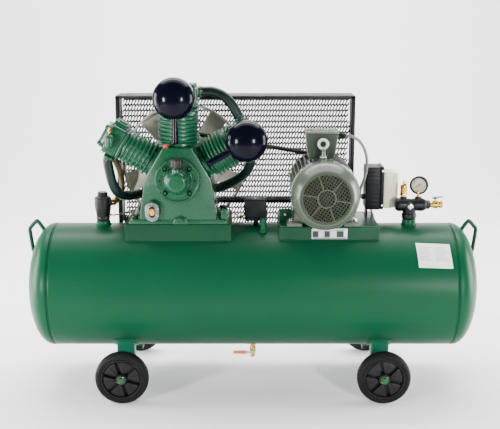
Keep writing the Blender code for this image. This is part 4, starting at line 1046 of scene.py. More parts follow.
def blade_mesh(radius):
    """One fan blade along Z: twisted, bowed and thinner at its edges."""
    bm, grid, rows, columns = bmesh.new(), [], 14, 8
    root, tip = 0.036, radius - 0.006
    for side in (0, 1):
        sheet = []
        for i in range(rows + 1):
            t = i / rows
            r = root + (tip - root) * t
            chord, pitch = 0.05 + 0.042 * t, radians(46 - 20 * t)
            line = []
            for j in range(columns + 1):
                u = j / columns - 0.5
                bow, lean = 0.01 * (1 - (2 * u) ** 2), side * (0.0042 * (1 - 0.5 * (2 * u) ** 2))
                x = chord * u * cos(pitch) - bow * sin(pitch)
                y = chord * u * sin(pitch) + bow * cos(pitch) - 0.005
                y = max(-0.0212, min(0.0212, y))
                line.append(bm.verts.new((x - lean * sin(pitch), y + lean * cos(pitch) * 0.8, r)))
            sheet.append(line)
        grid.append(sheet)
    for sheet in grid:
        for a, b in zip(sheet, sheet[1:]):
            bridge(bm, a, b, around=False)
    bridge(bm, grid_border(grid[0]), grid_border(grid[1]))
    return bm


def make_flywheel():
    wheel = Piece("fan_flywheel")
    place = at(CRANK.x, BELT_Y, CRANK.z, BACK)
    wheel.lathe("fan_cast", pulley_profile(CRANK_PULLEY, 0.042, 0.0232, -0.0195, 0.0975), place, 120,
                closed=True)
    centre_y, radius = BLADES_Y, BLADES_R
    ring = fillet([(radius - 0.0005, -0.0215), (radius - 0.0005, 0.0215), (radius - 0.0085, 0.0215),
                   (radius - 0.0085, -0.0215)], 0.002, 3, True)
    wheel.lathe("fan_cast", ring, at(CRANK.x, centre_y, CRANK.z, BACK), 120, closed=True)
    for k in range(5):
        angle = radians(270 + 72 * k)
        turn = at(CRANK.x, centre_y, CRANK.z) @ Matrix.Rotation(pi / 2 - angle, 4, "Y")
        wheel.add(blade_mesh(radius), "fan_cast", turn)
        web = at(CRANK.x, BELT_Y + 0.019, CRANK.z) @ Matrix.Rotation(pi / 2 - angle, 4, "Y")
        wheel.block("fan_cast", (-0.008, -0.012, 0.036), (0.008, 0.012, 0.124), web, 0.003)
    wheel.bolt("zinc", at(CRANK.x, 0.2585, CRANK.z, BACK), 0.028, 0.004)
    wheel.done("crank", ["flywheel"])


def make_crankshaft():
    shaft = Piece("crankshaft_steel")
    place = at(CRANK.x, 0, CRANK.z, BACK)
    shaft.lathe("machined",
                fillet([(0, 0.268), (0.02, 0.268), (0.0225, 0.2655), (0.0225, 0.035), (0, 0.035)], 0.001,
                       2), place, 48)
    shaft.lathe("machined", [(0, -0.07), (0.0195, -0.07), (0.0195, -0.135), (0.018, -0.137), (0, -0.137)],
                place, 40)
    shaft.lathe("machined", stub(0.018, 0.018, 0.043, -0.078), at(CRANK.x, 0, CRANK.z - THROW, BACK), 36)
    for y in ((-0.082, -0.066), (0.03, 0.046)):
        web = fillet([(-0.026, -0.058), (0.026, -0.058), (0.026, 0.054), (-0.026, 0.054)], 0.014, 5, True)
        shaft.prism("machined", web, -y[1], -y[0], at(CRANK.x, 0, CRANK.z, FRONT), bevel=0.0015)
    shaft.done("crank", ["crankshaft"])


def make_motor_pulley():
    pulley = Piece("motor_sheave")
    place = at(MOTOR.x, BELT_Y, MOTOR.z, BACK)
    pulley.lathe("cast_black", pulley_profile(MOTOR_PULLEY, 0.034, 0.0196, -0.0115, 0.0555, 0.019), place,
                 96, closed=True)
    pulley.bolt("zinc", at(MOTOR.x - 0.026, BELT_Y + 0.0555, MOTOR.z, BACK), 0.008, 0.0008)
    pulley.done("motor_rotor", ["motor_pulley"])


def make_rotor():
    rotor = Piece("motor_shaft")
    profile = fillet([(0, 0.228), (0.0175, 0.228), (0.019, 0.2265), (0.019, 0.075), (0.068, 0.075),
                      (0.068, -0.105), (0.019, -0.105), (0.019, -0.2), (0.014, -0.2), (0.014, -0.2545),
                      (0, -0.2545)], 0.0008, 2)
    rotor.lathe("machined", profile, at(MOTOR.x, 0, MOTOR.z, BACK), 48)
    rotor.block("machined", (-0.005, 0.222, 0.0155), (0.005, 0.2275, 0.0215), at(MOTOR.x, 0, MOTOR.z),
                0.0006)
    rotor.done("motor_rotor", ["rotor_shaft"])


def make_cooling_fan():
    fan = Piece("motor_cooling_fan")
    hub = at(MOTOR.x, 0, MOTOR.z)
    fan.lathe("nylon",
              fillet([(0.0142, -0.25), (0.026, -0.25), (0.03, -0.235), (0.034, -0.214), (0.09, -0.206),
                      (0.09, -0.2035), (0.0142, -0.2035)], 0.002, 3, True), hub @ BACK, 56, closed=True)
    fan.lathe("nylon", fillet(stub(0.015, 0.018, 0.2578, 0.255), 0.001, 2), hub @ FRONT, 28)
    for k in range(8):
        fan.block("nylon", (-0.0014, -0.24, 0.026), (0.0014, -0.205, 0.094), hub @ spin("Y", 45 * k),
                  0.0008)
    fan.done("motor_rotor")


def belt_route(offset):
    """Points round both pulleys at an offset from the pitch line."""
    gap = Vector((MOTOR.x - CRANK.x, MOTOR.z - CRANK.z))
    slope, lean = atan2(gap.y, gap.x), acos((CRANK_PULLEY - MOTOR_PULLEY) / gap.length)
    points = []
    round_crank = (CRANK, CRANK_PULLEY, slope + lean, slope + 2 * pi - lean, 80)
    round_motor = (MOTOR, MOTOR_PULLEY, slope - lean, slope + lean, 60)
    for centre, radius, start, end, count in (round_crank, round_motor):
        for k in range(count + 1):
            a = start + (end - start) * k / count
            points.append((centre.x + (radius + offset) * cos(a), centre.z + (radius + offset) * sin(a)))
    return points


def make_belts():
    section = fillet([(0.004, -0.00775), (-0.0068, -0.0042), (-0.0068, 0.0042), (0.004, 0.00775)], 0.0009,
                     2, True)
    for k in range(3):
        belt = Piece(f"rubber_belt_{k + 1}")
        y, bm = BELT_Y + k * BELT_PITCH, bmesh.new()
        lines = [[bm.verts.new((x, y + side, z)) for x, z in belt_route(offset)] for offset,
                 side in section]
        for a, b in zip(lines, lines[1:] + lines[:1]):
            bridge(bm, a, b)
        belt.add(bm, "belt")
        belt.done(replaces=[f"v_belt_{k + 1}"])


# ---------------------------------------------------------------- motor

def add_motor_top(motor):
    """The flat pad under the terminal box, then the eyebolt."""
    motor.block("motor_cast", (MOTOR.x - 0.045, -0.104, MOTOR.z + 0.096),
                (MOTOR.x + 0.034, -0.012, MOTOR.z + 0.122), None, 0.004, 3)
    eye = at(0.2585, -0.142, MOTOR.z + 0.1185)
    motor.lathe("motor_cast", fillet(stub(0.013, 0.019, 0.012, -0.012), 0.004, 4), eye, 32)
    motor.lathe("pale_paint", fillet(stub(0.0125, 0.0125, 0.0175, 0.0125), 0.0012, 2), eye, 32)
    motor.lathe("motor_paint",
                fillet([(0, 0.047), (0.008, 0.047), (0.0074, 0.032), (0.01, 0.0175), (0, 0.0175)], 0.003,
                       3), eye, 24)
    motor.ring("pale_paint", 0.0163, 0.0052, eye @ at(-0.0012, 0, 0.0625, FRONT), 48, 16)


def add_motor_feet(motor):
    """The belt-tension stop and its screw, then the four feet on their two rails."""
    floor = MOTOR_BASE_TOP + 0.0004
    stop = [(0.102, floor), (0.1318, floor), (0.1318, floor + 0.0095), (0.148, floor + 0.0095),
            (0.148, floor + 0.05), (0.102, floor + 0.05)]
    motor.prism("sheet_green", stop, 0.04, 0.046, FRONT, bevel=0.0009, segments=1)
    motor.lathe("zinc", stub(0.0038, 0.0038, 0.03, -0.014), at(0.123, -0.043, floor + 0.03, BACK), 16)
    for side in (-1, 1):
        x = MOTOR.x + side * 0.108
        for y0, y1 in ((-0.13, -0.072), (0.037, 0.095)):
            foot = fillet([(-0.029, 0), (0.029, 0), (0.029, 0.011), (0.016, 0.015), (-0.016, 0.015),
                           (-0.029, 0.011)], 0.003, 3, True)
            motor.prism("motor_cast", foot, -y1, -y0, at(x, 0, floor, FRONT), bevel=0.0018, angle=50)
            leg = [(-0.017, 0.008), (0.017, 0.008), (0.006 - side * 0.004, 0.072),
                   (-0.014 - side * 0.004, 0.072)]
            motor.prism("motor_cast", fillet(leg, 0.003, 3, True), -y1 + 0.012, -y0 - 0.012,
                        at(x - side * 0.014, 0, floor, FRONT), bevel=0.0018, angle=50)
            motor.bolt("zinc", at(x + side * 0.014, (y0 + y1) / 2, floor + 0.0135), 0.017, 0.009, 0.0115)
        motor.block("motor_cast", (x - 0.024, -0.128, floor), (x + 0.024, 0.093, floor + 0.008), None,
                    0.0015)


def make_motor():
    motor = Piece("motor_housing")
    place = at(MOTOR.x, 0, MOTOR.z, BACK)
    front, back = -0.174, 0.14
    profile = fillet([(0.0196, back - 0.022), (0.0196, back), (0.032, back), (0.036, back - 0.004),
                      (0.06, back - 0.003), (0.064, back - 0.01), (0.098, back - 0.016),
                      (0.1165, back - 0.019), (0.1185, back - 0.022), (0.1185, back - 0.036),
                      (0.1045, back - 0.038), (0.1045, front + 0.012), (0.1185, front + 0.01),
                      (0.1185, front), (0.1, front), (0.1, back - 0.03)], 0.0022, 3, True)
    motor.lathe("motor_cast", profile, place, 96, closed=True)
    fins = 44
    for k in range(fins):
        angle = 360 * k / fins
        if 238 < angle < 302:
            continue
        turn = at(MOTOR.x, 0, MOTOR.z) @ spin("Y", 90 - angle)
        tip = 0.1205 if sin(radians(angle)) < 0.2 or abs(angle - 90) < 27 else 0.1285
        motor.prism("motor_cast", [(-0.0024, 0.103), (0.0024, 0.103), (0.0013, tip), (-0.0013, tip)],
                    -(back - 0.04), -(front + 0.01), turn @ FRONT, bevel=0.0007, segments=1)
    for k in range(4):
        angle = radians(45 + 90 * k)
        spot = place @ at(*polar(0.1065, angle), back - 0.018)
        motor.bolt("zinc", spot, 0.011, 0.005)
    add_motor_feet(motor)
    add_motor_top(motor)
    motor.done(replaces=["motor_frame"])


def make_cowl():
    cowl = Piece("fan_cowl_pressing")
    place = at(MOTOR.x, 0, MOTOR.z, FRONT)  # heights are distances to the front
    outer, wall = 0.1272, 0.0022
    outside = fillet([(outer, 0.1655), (outer, 0.206), (outer - 0.003, 0.2205), (outer - 0.0075, 0.233),
                      (outer - 0.016, 0.246), (0.105, 0.2545), (0.1022, 0.258), (0.1, 0.2608),
                      (0.0972, 0.2618)], 0.006, 5)
    inside = [(r - wall * 0.9, h - wall * 0.6) for r, h in reversed(outside)]
    cowl.lathe("motor_paint", outside + inside, place, 128, closed=True)
    face = 0.2608
    cowl.lathe("grille_paint",
               fillet([(0.098, face), (0.085, face), (0.085, face - 0.0022), (0.098, face - 0.0022)],
                      0.0006, 2, True), place, 96, closed=True)
    radius, pitch, bar = 0.0862, 0.0106, 0.0038
    grid = place @ spin("Z", -33)
    count = int(radius / pitch)
    for k in range(-count, count + 1):
        offset = k * pitch
        reach = sqrt(max(0.0, radius ** 2 - offset ** 2))
        if reach < 0.008:
            continue
        cowl.block("grille_paint", (-reach, offset - bar / 2, face - 0.0022),
                   (reach, offset + bar / 2, face), grid, 0.0005, 1)
        cowl.block("grille_paint", (offset - bar / 2, -reach, face - 0.0022),
                   (offset + bar / 2, reach, face), grid, 0.0005, 1)
    for k in range(6):
        turn = place @ spin("Z", 60 * k - 10)
        rib = fillet([(0.031, -0.0022), (0.088, -0.0022), (0.088, 0.0022), (0.031, 0.0022)], 0.001, 2,
                     True)
        cowl.prism("grille_rib", rib, face - 0.001, face + 0.0018, turn, bevel=0.0007, segments=1)
    cowl.lathe("grille_rib",
               fillet([(0.03, face - 0.001), (0.0348, face - 0.001), (0.0348, face + 0.0018),
                       (0.03, face + 0.0018)], 0.0008, 2, True), place, 56, closed=True)
    for k in range(4):
        angle = radians(45 + 90 * k)
        turn = at(MOTOR.x, -0.178, MOTOR.z) @ Matrix.Rotation(angle, 4, "Y")
        cowl.lathe("zinc", fillet([(0, 0.0022), (0.003, 0.0022), (0.0045, 0)], 0.0008, 2),
                   turn @ at(0, 0, outer), 16)
    cowl.done(replaces=["fan_cowl"])


def make_terminal_box():
    box = Piece("terminal_housing")
    low, high = MOTOR.z + 0.1222, 0.9905
    centre = at(0.2565, -0.06, 0)
    bm = bmesh.new()
    rings = []
    for z, half_x, half_y in ((low, 0.049, 0.046), (low + 0.01, 0.05, 0.047),
                              (high - 0.008, 0.059, 0.0565), (high, 0.06, 0.0575)):
        outline = rectangle(half_x, half_y, 0.01, 5)
        rings.append([bm.verts.new((x, y, z)) for x, y in outline])
    for a, b in zip(rings, rings[1:]):
        bridge(bm, a, b)
    bm.faces.new(list(reversed(rings[0])))
    bm.faces.new(rings[-1])
    box.add(bm, "box_paint", centre)
    lid = rectangle(0.0622, 0.0598, 0.009, 5)
    box.prism("gasket_and_painted_shade", [(x * 0.96, y * 0.96) for x, y in lid], high - 0.0005, high + 0.0012, centre)
    box.prism("motor_paint", lid, high + 0.001, BOX_TOP, centre, bevel=0.0028, segments=3, angle=50)
    for x in (-0.05, 0.05):
        for y in (-0.047, 0.047):
            box.lathe("zinc", fillet([(0, 0.0004), (0.003, 0.0004), (0.004, -0.002)], 0.0006, 2),
                      centre @ at(x, y, BOX_TOP), 18)
    gland = at(0.315, -0.06, 0.977, RIGHT)
    box.lathe("nylon", fillet(stub(0.014, 0.014, 0.01, 0), 0.001, 2), gland, 32)
    box.nut("nylon", 0.0128, 0.01, 0.019, gland, bevel=0.001, start=0.5)
    box.lathe("nylon", fillet([(0, 0.0345), (0.008, 0.0345), (0.011, 0.03), (0.011, 0.019), (0, 0.019)],
                              0.0015, 3), gland, 32)
    box.done(replaces=["terminal_box"])


def make_conduit():
    cable = Piece("motor_conduit")
    route = smooth_route([(0.3495, -0.06, 0.977), (0.37, -0.06, 0.976), (0.402, -0.055, 0.955),
                          (0.427, -0.045, 0.91), (0.434, -0.03, 0.855), (0.427, -0.018, 0.805),
                          (0.418, 0.01, 0.765), (0.419, 0.04, 0.735), (0.428, 0.06, 0.722),
                          (0.44, 0.062, 0.722)], 22)
    cable.pipe("conduit", route, lambda i, n: 0.006 - (0.0006 if i % 2 else 0.0), 14)
    cable.done(replaces=["motor_cable"])


# ---------------------------------------------------------------- guard

def make_guard():
    guard = Piece("guard_surround")
    (left, right), (front, back), (bottom, top) = GUARD_X, GUARD_Y, GUARD_Z
    sheet, narrow = 0.003, 0.006
    for low, high in (((left, front, bottom), (left + sheet, back, top)),
                      ((right - sheet, front, bottom), (right, back, top)),
                      ((left, front, top - sheet), (right, back, top)),
                      ((left, back - sheet, bottom), (left + narrow, back, top)),
                      ((right - narrow, back - sheet, bottom), (right, back, top)),
                      ((left, back - sheet, top - narrow), (right, back, top)),
                      ((left, front, bottom), (left + 0.016, front + sheet, top)),
                      ((right - 0.016, front, bottom), (right, front + sheet, top)),
                      ((left, front, top - 0.01), (right, front + sheet, top)),
                      ((left, back - sheet, 0.513), (left + 0.02, back, 0.592)),
                      ((right - 0.02, back - sheet, 0.513), (right, back, 0.592)),
                      ((left, back - sheet, 0.512), (right, back, 0.532))):
        guard.block("black_steel", low, high, None, 0.0012)
    for x in (-0.4, 0.28):
        guard.block("black_steel", (x - 0.015, back - sheet, 0.396), (x + 0.015, back, 0.524), None,
                    0.001)
        guard.block("black_steel", (x - 0.015, TANK_R + 0.0006, 0.395), (x + 0.015, back, 0.399), None,
                    0.001)
        guard.bolt("zinc", at(x, back - sheet - 0.0004, 0.518, FRONT), 0.01, 0.0035)
    for x in (left + 0.01, right - 0.01):
        guard.bolt("zinc", at(x, back - sheet - 0.0004, 0.582, FRONT), 0.009, 0.0035)
    for x in (left + 0.008, right - 0.008):
        for z in (bottom + 0.06, (bottom + top) / 2, top - 0.06):
            guard.lathe("black_steel", fillet([(0, 0.0016), (0.003, 0.0016), (0.0042, 0)], 0.0008, 2),
                        at(x, front - 0.0001, z, FRONT), 16)
    guard.done(replaces=["guard_frame"])


def make_mesh():
    """Expanded metal: slanting slots between thin strands, each row shifted by 0.15 of a pitch."""
    left, right = GUARD_X[0] + 0.0035, GUARD_X[1] - 0.0035
    bottom, top = 0.5125, GUARD_Z[1] - 0.0036
    columns, rows = round((right - left) / 0.0124), round((top - bottom) / 0.0225)
    wide, tall = (right - left) / columns, (top - bottom) / rows
    hole_wide, hole_tall, lean, y, thick = 0.0036, 0.0088, 0.0026, 0.305, 0.0014
    bm = bmesh.new()
    cell = [(-0.5, -0.5), (0, -0.5), (0.5, -0.5), (0.5, 0.5), (0, 0.5), (-0.5, 0.5)]
    hole = [(-hole_wide - lean, -hole_tall * 0.8), (-lean - 0.0004, -hole_tall),
            (hole_wide - lean, -hole_tall * 0.62), (hole_wide + lean, hole_tall * 0.8),
            (lean + 0.0004, hole_tall), (-hole_wide + lean, hole_tall * 0.62)]
    for row in range(rows):
        z, shift = bottom + tall * (row + 0.5), wide * (1 - 0.15 * row % 1)
        for column in range(columns + 2):
            x = left + wide * (column + 0.5) - shift
            reach = min(right, x + wide / 2) - x, x - max(left, x - wide / 2)
            if reach[0] < wide * 0.49 or reach[1] < wide * 0.49:
                continue
            outer = [(px * wide, pz * tall) for px, pz in cell]
            a = [bm.verts.new((x + px, y - thick * 0.5 * pz / tall, z + pz)) for px, pz in outer]
            b = [bm.verts.new((x + px, y - thick * (0.6 + pz / tall), z + pz)) for px, pz in hole]
            c = [bm.verts.new((x + px, y - thick * (pz / tall - 0.6), z + pz)) for px, pz in hole]
            for k in range(6):
                n = (k + 1) % 6
                bm.faces.new((a[k], a[n], b[n], b[k]))
                bm.faces.new((b[k], b[n], c[n], c[k]))
    mesh_piece = Piece("expanded_mesh")
    mesh_piece.add(bm, "mesh_black")
    mesh_piece.done(replaces=["guard_mesh"])


# ---------------------------------------------------------------- controls and valves

def make_starter():
    starter = Piece("starter_housing")
    starter.block("enclosure", (0.4415, 0.0305, 0.6745), (0.498, 0.1295, 0.8425), None, 0.004, 3)
    starter.block("gasket_and_painted_shade", (0.497, 0.032, 0.677), (0.4995, 0.128, 0.841), None, 0.001)
    starter.block("enclosure", (0.499, 0.0305, 0.6755), (0.5108, 0.1295, 0.8445), None, 0.003, 3)
    for k in range(9):
        z = 0.692 + 0.016 * k
        starter.block("enclosure", (0.446, 0.029, z), (0.492, 0.031, z + 0.006), None, 0.0009)
    for z in (0.692, 0.828):
        starter.lathe("zinc", fillet([(0, 0.003), (0.004, 0.003), (0.005, 0)], 0.0008, 2),
                      at(0.505, 0.0305, z, FRONT), 18)
    starter.lathe("nylon", fillet([(0, 0.016), (0.0085, 0.016), (0.011, 0.01), (0.011, 0), (0, 0)],
                                  0.0015, 3), at(0.441, 0.062, 0.722, spin("Y", -90)), 28)
    starter.block("sheet_green", (0.447, 0.045, MOTOR_BASE_TOP + 0.0004), (0.452, 0.115, 0.69), None,
                  0.001)
    starter.pipe("conduit",
                 smooth_route([(0.47, 0.08, 0.678), (0.47, 0.08, 0.668), (0.474, 0.088, 0.652),
                               (0.48, 0.1, 0.64), (0.486, 0.112, 0.622)], 6), 0.0045, 12)
    starter.done(replaces=["starter_box"])


def make_starter_lid():
    cover = Piece("starter_lid")
    cover.block("cream", (0.5114, 0.0342, 0.6797), (0.545, 0.1258, 0.8218), None, 0.004, 3)
    cover.block("cream", (0.54, 0.0362, 0.6812), (0.5685, 0.1238, 0.8203), None, 0.006, 4)
    for z in (0.692, 0.81):
        cover.lathe("zinc", fillet([(0, 0.0012), (0.003, 0.0012), (0.004, 0)], 0.0006, 2),
                    at(0.526, 0.0342, z, FRONT), 18)
    for z, key in ((0.778, "enclosure"), (0.73, "red")):
        button = fillet([(0, 0.003), (0.01, 0.003), (0.012, 0.0015), (0.012, 0), (0, 0)], 0.001, 3)
        cover.lathe(key, button, at(0.568, 0.08, z, RIGHT), 32)
    cover.done(replaces=["starter_cover"])


def make_pressure_switch():
    switch = Piece("pressure_switch_box")
    switch.block("enclosure", (-0.0325, -0.0295, 0.656), (0.0535, 0.0395, 0.7268), None, 0.0045, 3)
    switch.block("enclosure", (-0.031, -0.028, 0.6425), (0.052, 0.038, 0.655), None, 0.002, 2)
    switch.block("gasket_and_painted_shade", (-0.0315, -0.0285, 0.6545), (0.0525, 0.0385, 0.6565), None, 0.0005)
    switch.lathe("zinc", fillet([(0, 0.0012), (0.0035, 0.0012), (0.0045, 0)], 0.0006, 2),
                 at(0.0105, 0.005, 0.7268), 18)
    # the short pipe stub that stands on the tank before the switch
    stub = fillet([(0, 0.052), (0.0105, 0.052), (0.012, 0.046), (0.012, 0.01), (0.0165, 0.004),
                   (0.0165, -0.003), (0, -0.003)], 0.002, 3)
    switch.lathe("tank_green", stub, at(0.04, -0.075, tank_surface(0.075)), 32)
    for x in (-0.02, 0.041):
        switch.lathe("nylon", fillet([(0, 0.006), (0.007, 0.006), (0.0085, 0)], 0.001, 2),
                     at(x, -0.028, 0.6485, FRONT), 20)
    switch.lathe("tank_green",
                 fillet([(0, 0.0165), (0.0088, 0.0165), (0.0098, 0.012), (0.0098, 0.001), (0.013, -0.003),
                         (0, -0.003)], 0.0015, 3), at(0.012, 0, TANK_TOP), 28)
    switch.nut("brass", 0.0085, 0.01, 0.018, at(0.012, 0, TANK_TOP), bevel=0.0008)
    switch.nut("brass", 0.005, -0.002, 0.007, at(-0.0345, 0.003, 0.66, RIGHT), bevel=0.0006)
    switch.done(replaces=["pressure_switch"])


def make_outlet():
    manifold = Piece("outlet_casting")
    neck = fillet([(0, 0.09), (0.0245, 0.09), (0.0262, 0.06), (0.025, 0.047), (0.029, 0.04),
                   (0.029, 0.026), (0.025, 0.0225), (0, 0.0225)], 0.003, 4)
    manifold.lathe("cast_black", neck, at(OUTLET_X, 0, TANK_TOP), 56)
    body = fillet([(0, 0.0795), (0.012, 0.0795), (0.015, 0.077), (0.0165, 0.066), (0.0185, 0.063),
                   (0.0235, 0.056), (0.0258, 0.046), (0.0245, 0.022), (0.0225, 0.005), (0.0245, -0.015),
                   (0.026, -0.03), (0.0258, -0.045), (0.0215, -0.0525), (0.019, -0.0555), (0, -0.0555)],
                  0.0035, 4)
    manifold.lathe("cast_black", body, at(OUTLET_X, 0, OUTLET_Z, RIGHT), 56)
    manifold.nut("cast_black", 0.018, 0.063, 0.079, at(OUTLET_X, 0, OUTLET_Z, RIGHT), bevel=0.0015)
    for x in (SAFETY_X, GAUGE_X):
        port = fillet([(0, 0.0328), (0.0125, 0.0328), (0.0135, 0.03), (0.0145, 0.012), (0, 0.012)],
                      0.0018, 3)
        manifold.lathe("cast_black", port, at(x, 0, 0.7), 36)
    manifold.lathe("cast_black", fillet(stub(0.015, 0.017, 0.026, 0.018), 0.002, 3),
                   at(OUTLET_X, 0, 0.7, FRONT), 36)
    plug = rectangle(0.0092, 0.0092, 0.0014, 2)
    manifold.prism("zinc", plug, 0.0255, 0.033, at(OUTLET_X, 0, 0.7, FRONT @ spin("Z", 38)), bevel=0.0012)
    manifold.done(replaces=["outlet_manifold"])


def make_safety_valve():
    safety = Piece("safety_valve_brass")
    base = at(SAFETY_X, 0, 0.7334)
    safety.nut("brass", 0.014, 0.0045, 0.014, base, bevel=0.001)
    profile = fillet([(0, 0.053), (0.006, 0.053), (0.0095, 0.049), (0.012, 0.046), (0.0128, 0.042),
                      (0.0128, 0.03), (0.0112, 0.029), (0.0112, 0.027), (0.0128, 0.026), (0.0128, 0.015),
                      (0.0095, 0.014), (0.009, 0.0), (0, 0.0)], 0.0012, 3)
    safety.lathe("brass", profile, base, 48)
    # painted shade: eight near-black slits on the body stand in for the dark inside of its vent ports
    for k in range(8):
        turn = base @ spin("Z", 45 * k)
        safety.block("gasket_and_painted_shade", (0.0118, -0.0014, 0.0315), (0.0131, 0.0014, 0.04), turn, 0.0004, 1)
    safety.lathe("brass", fillet(stub(0.0026, 0.003, 0.06, 0.052), 0.0008, 2), base, 20)
    safety.ring("zinc", 0.0066, 0.001, base @ at(0.0035, 0, 0.058, FRONT), 28, 8)
    safety.done(replaces=["safety_valve"])


def make_outlet_valve():
    valve = Piece("outlet_valve_brass")
    place = at(0.6874, 0, OUTLET_Z, RIGHT)
    valve.nut("brass", 0.0152, 0.0085, 0.0155, place, bevel=0.001, start=0.2)
    valve.nut("brass", 0.0152, 0.0375, 0.0475, place, bevel=0.001, start=0.2)
    profile = fillet([(0.0075, 0.048), (0.0118, 0.048), (0.0118, 0.035), (0.0105, 0.033), (0.0138, 0.029),
                      (0.0145, 0.022), (0.0138, 0.016), (0.01, 0.013), (0.0098, 0.0), (0.007, 0.0)],
                     0.0014, 3, True)
    valve.lathe("brass", profile, place, 44, closed=True)
    valve.lathe("gasket_and_painted_shade", [(0, 0.04), (0.0078, 0.04)], place, 24)
    valve.lathe("brass", fillet([(0, 0.024), (0.0052, 0.024), (0.0064, 0.02), (0.0064, 0.01), (0, 0.01)],
                                0.0008, 2), at(0.707, 0, OUTLET_Z), 24)
    valve.done(replaces=["ball_valve"])


def make_outlet_lever():
    lever = Piece("outlet_lever_plate")
    bm, sheets = bmesh.new(), []
    spans = [(-0.013, -0.001, 0.005), (-0.0085, 0.0004, 0.007), (0.0, 0.0004, 0.0078),
             (0.008, 0.0006, 0.0076), (0.015, 0.0035, 0.0072), (0.021, 0.0052, 0.0068),
             (0.0262, 0.0035, 0.006), (0.029, -0.002, 0.0052)]
    for lift in (0.0, 0.0034):
        sheets.append([[bm.verts.new((x, y * half, z + lift)) for y in (-1, -0.4, 0.4, 1)] for x, z,
                       half in spans])
    for rows in sheets:
        for a, b in zip(rows, rows[1:]):
            bridge(bm, a, b, around=False)
    bridge(bm, grid_border(sheets[0]), grid_border(sheets[1]))
    lever.add(bm, "lever_green", at(0.7074, 0, 0.7265), 0.001, 2, 50)
    lever.bolt("zinc", at(0.7074, 0, 0.7303), 0.0085, 0.004)
    lever.done("outlet_lever", ["ball_valve_lever"])


GAUGE_FACE = at(GAUGE_X, 0, 0.7775) @ spin("Z", -22) @ FRONT


def make_gauge():
    place = GAUGE_FACE
    gauge = Piece("gauge_case")
    shell = fillet([(0, -0.0255), (0.031, -0.0255), (0.0338, -0.021), (0.0338, -0.003), (0.0356, -0.0018),
                    (0.0358, 0.0026), (0.034, 0.004), (0.03, 0.0034), (0.0286, 0.001), (0.0284, -0.0025),
                    (0, -0.0025)], 0.0009, 3)
    gauge.lathe("black_steel", shell, place, 72)
    gauge.lathe("dial", [(0, -0.0019), (0.0285, -0.0019)], place, 56)
    for k in range(31):
        angle = radians(225 - 270 * k / 30)
        long = k % 5 == 0
        inner = 0.0215 if long else 0.0235
        mark = place @ Matrix.Rotation(angle, 4, "Z")
        half = 0.00045 if long else 0.00022
        gauge.block("ink", (inner, -half, -0.0019), (0.0266, half, -0.00165), mark, 0.00005, 1)
    gauge.lathe("ink", [(0, -0.0017), (0.0022, -0.0017)], place, 20)
    gauge.nut("brass", 0.007, 0.7336, 0.74, at(GAUGE_X, 0, 0), bevel=0.0008)
    gauge.lathe("brass", fillet([(0, 0.752), (0.005, 0.756), (0.0056, 0.74), (0, 0.74)], 0.0008, 2),
                at(GAUGE_X, 0, 0), 24)
    gauge.done(replaces=["pressure_gauge"])


def make_pointer():
    needle = Piece("gauge_pointer")
    pointer = GAUGE_FACE @ spin("Z", 218)
    needle.prism("ink", [(-0.0088, -0.0014), (0.0, -0.0014), (0.0208, -0.0009), (0.0208, 0.0009),
                         (0.0, 0.0014), (-0.0088, 0.0014)], 0.0003, 0.0008, pointer, bevel=0.0001,
                 segments=1)
    needle.lathe("brass", fillet([(0, 0.0016), (0.0018, 0.0016), (0.0024, 0.0002)], 0.0004, 2), pointer,
                 20)
    needle.done("gauge_needle", ["gauge_needle"])


def make_drain():
    valve = Piece("drain_valve_brass")
    top = at(0, 0, TANK_LOW)
    valve.nut("brass", 0.0128, -0.019, -0.0105, top, bevel=0.0009)
    profile = fillet([(0, -0.009), (0.0092, -0.009), (0.0092, -0.022), (0.0126, -0.027), (0.0132, -0.038),
                      (0.0126, -0.047), (0.0092, -0.052), (0.0088, -0.0668), (0.006, -0.0668),
                      (0.006, -0.06), (0, -0.06)], 0.0012, 3)
    valve.lathe("brass", profile, top, 44)
    valve.nut("brass", 0.0112, -0.06, -0.053, top, bevel=0.0008)
    valve.lathe("brass", fillet(stub(0.0048, 0.006, 0.019, 0.01), 0.0008, 2), at(0, 0, DRAIN_Z, FRONT),
                24)
    valve.done(replaces=["drain_valve"])


def make_drain_lever():
    lever = Piece("drain_lever_sleeved")
    face = at(0, -0.0235, DRAIN_Z, FRONT)
    tang = fillet([(-0.03, -0.0048), (0.0075, -0.007), (0.0078, 0.007), (-0.03, 0.0048)], 0.003, 3, True)
    lever.prism("zinc", tang, -0.0012, 0.0012, face, bevel=0.0005, segments=1)
    lever.bolt("zinc", face @ at(0, 0, 0.0012), 0.0085, 0.002)
    sleeve = fillet([(-0.0775, -0.006), (-0.0275, -0.0075), (-0.0255, 0.0), (-0.0275, 0.0075),
                     (-0.0775, 0.006)], 0.004, 4, True)
    lever.prism("orange", sleeve, -0.0032, 0.0032, face, bevel=0.0016, segments=3)
    lever.done("drain_lever", ["drain_lever"])


def make_pistons():
    for name, (tilt, bore, _, out, _) in CYLINDERS.items():
        swing = radians(180 - abs(tilt))
        wrist = THROW * cos(swing) + sqrt(ROD ** 2 - (THROW * sin(swing)) ** 2)
        crown, radius = wrist + 0.035 + out, bore - 0.0007
        piston = Piece("ringed_piston_" + name)
        points = [(0, crown), (radius - 0.001, crown), (radius, crown - 0.001)]
        for k in range(3):
            z = crown - 0.007 - 0.006 * k
            points += [(radius, z), (radius - 0.0015, z), (radius - 0.0015, z - 0.0022),
                       (radius, z - 0.0022)]
        points += [(radius, crown - 0.06), (radius - 0.005, crown - 0.06), (radius - 0.005, crown - 0.01),
                   (0, crown - 0.01)]
        piston.lathe("machined", points, on_cylinder(tilt), 48)
        piston.done("piston_" + name, ["piston_" + name])


# ---------------------------------------------------------------- stage, light and camera

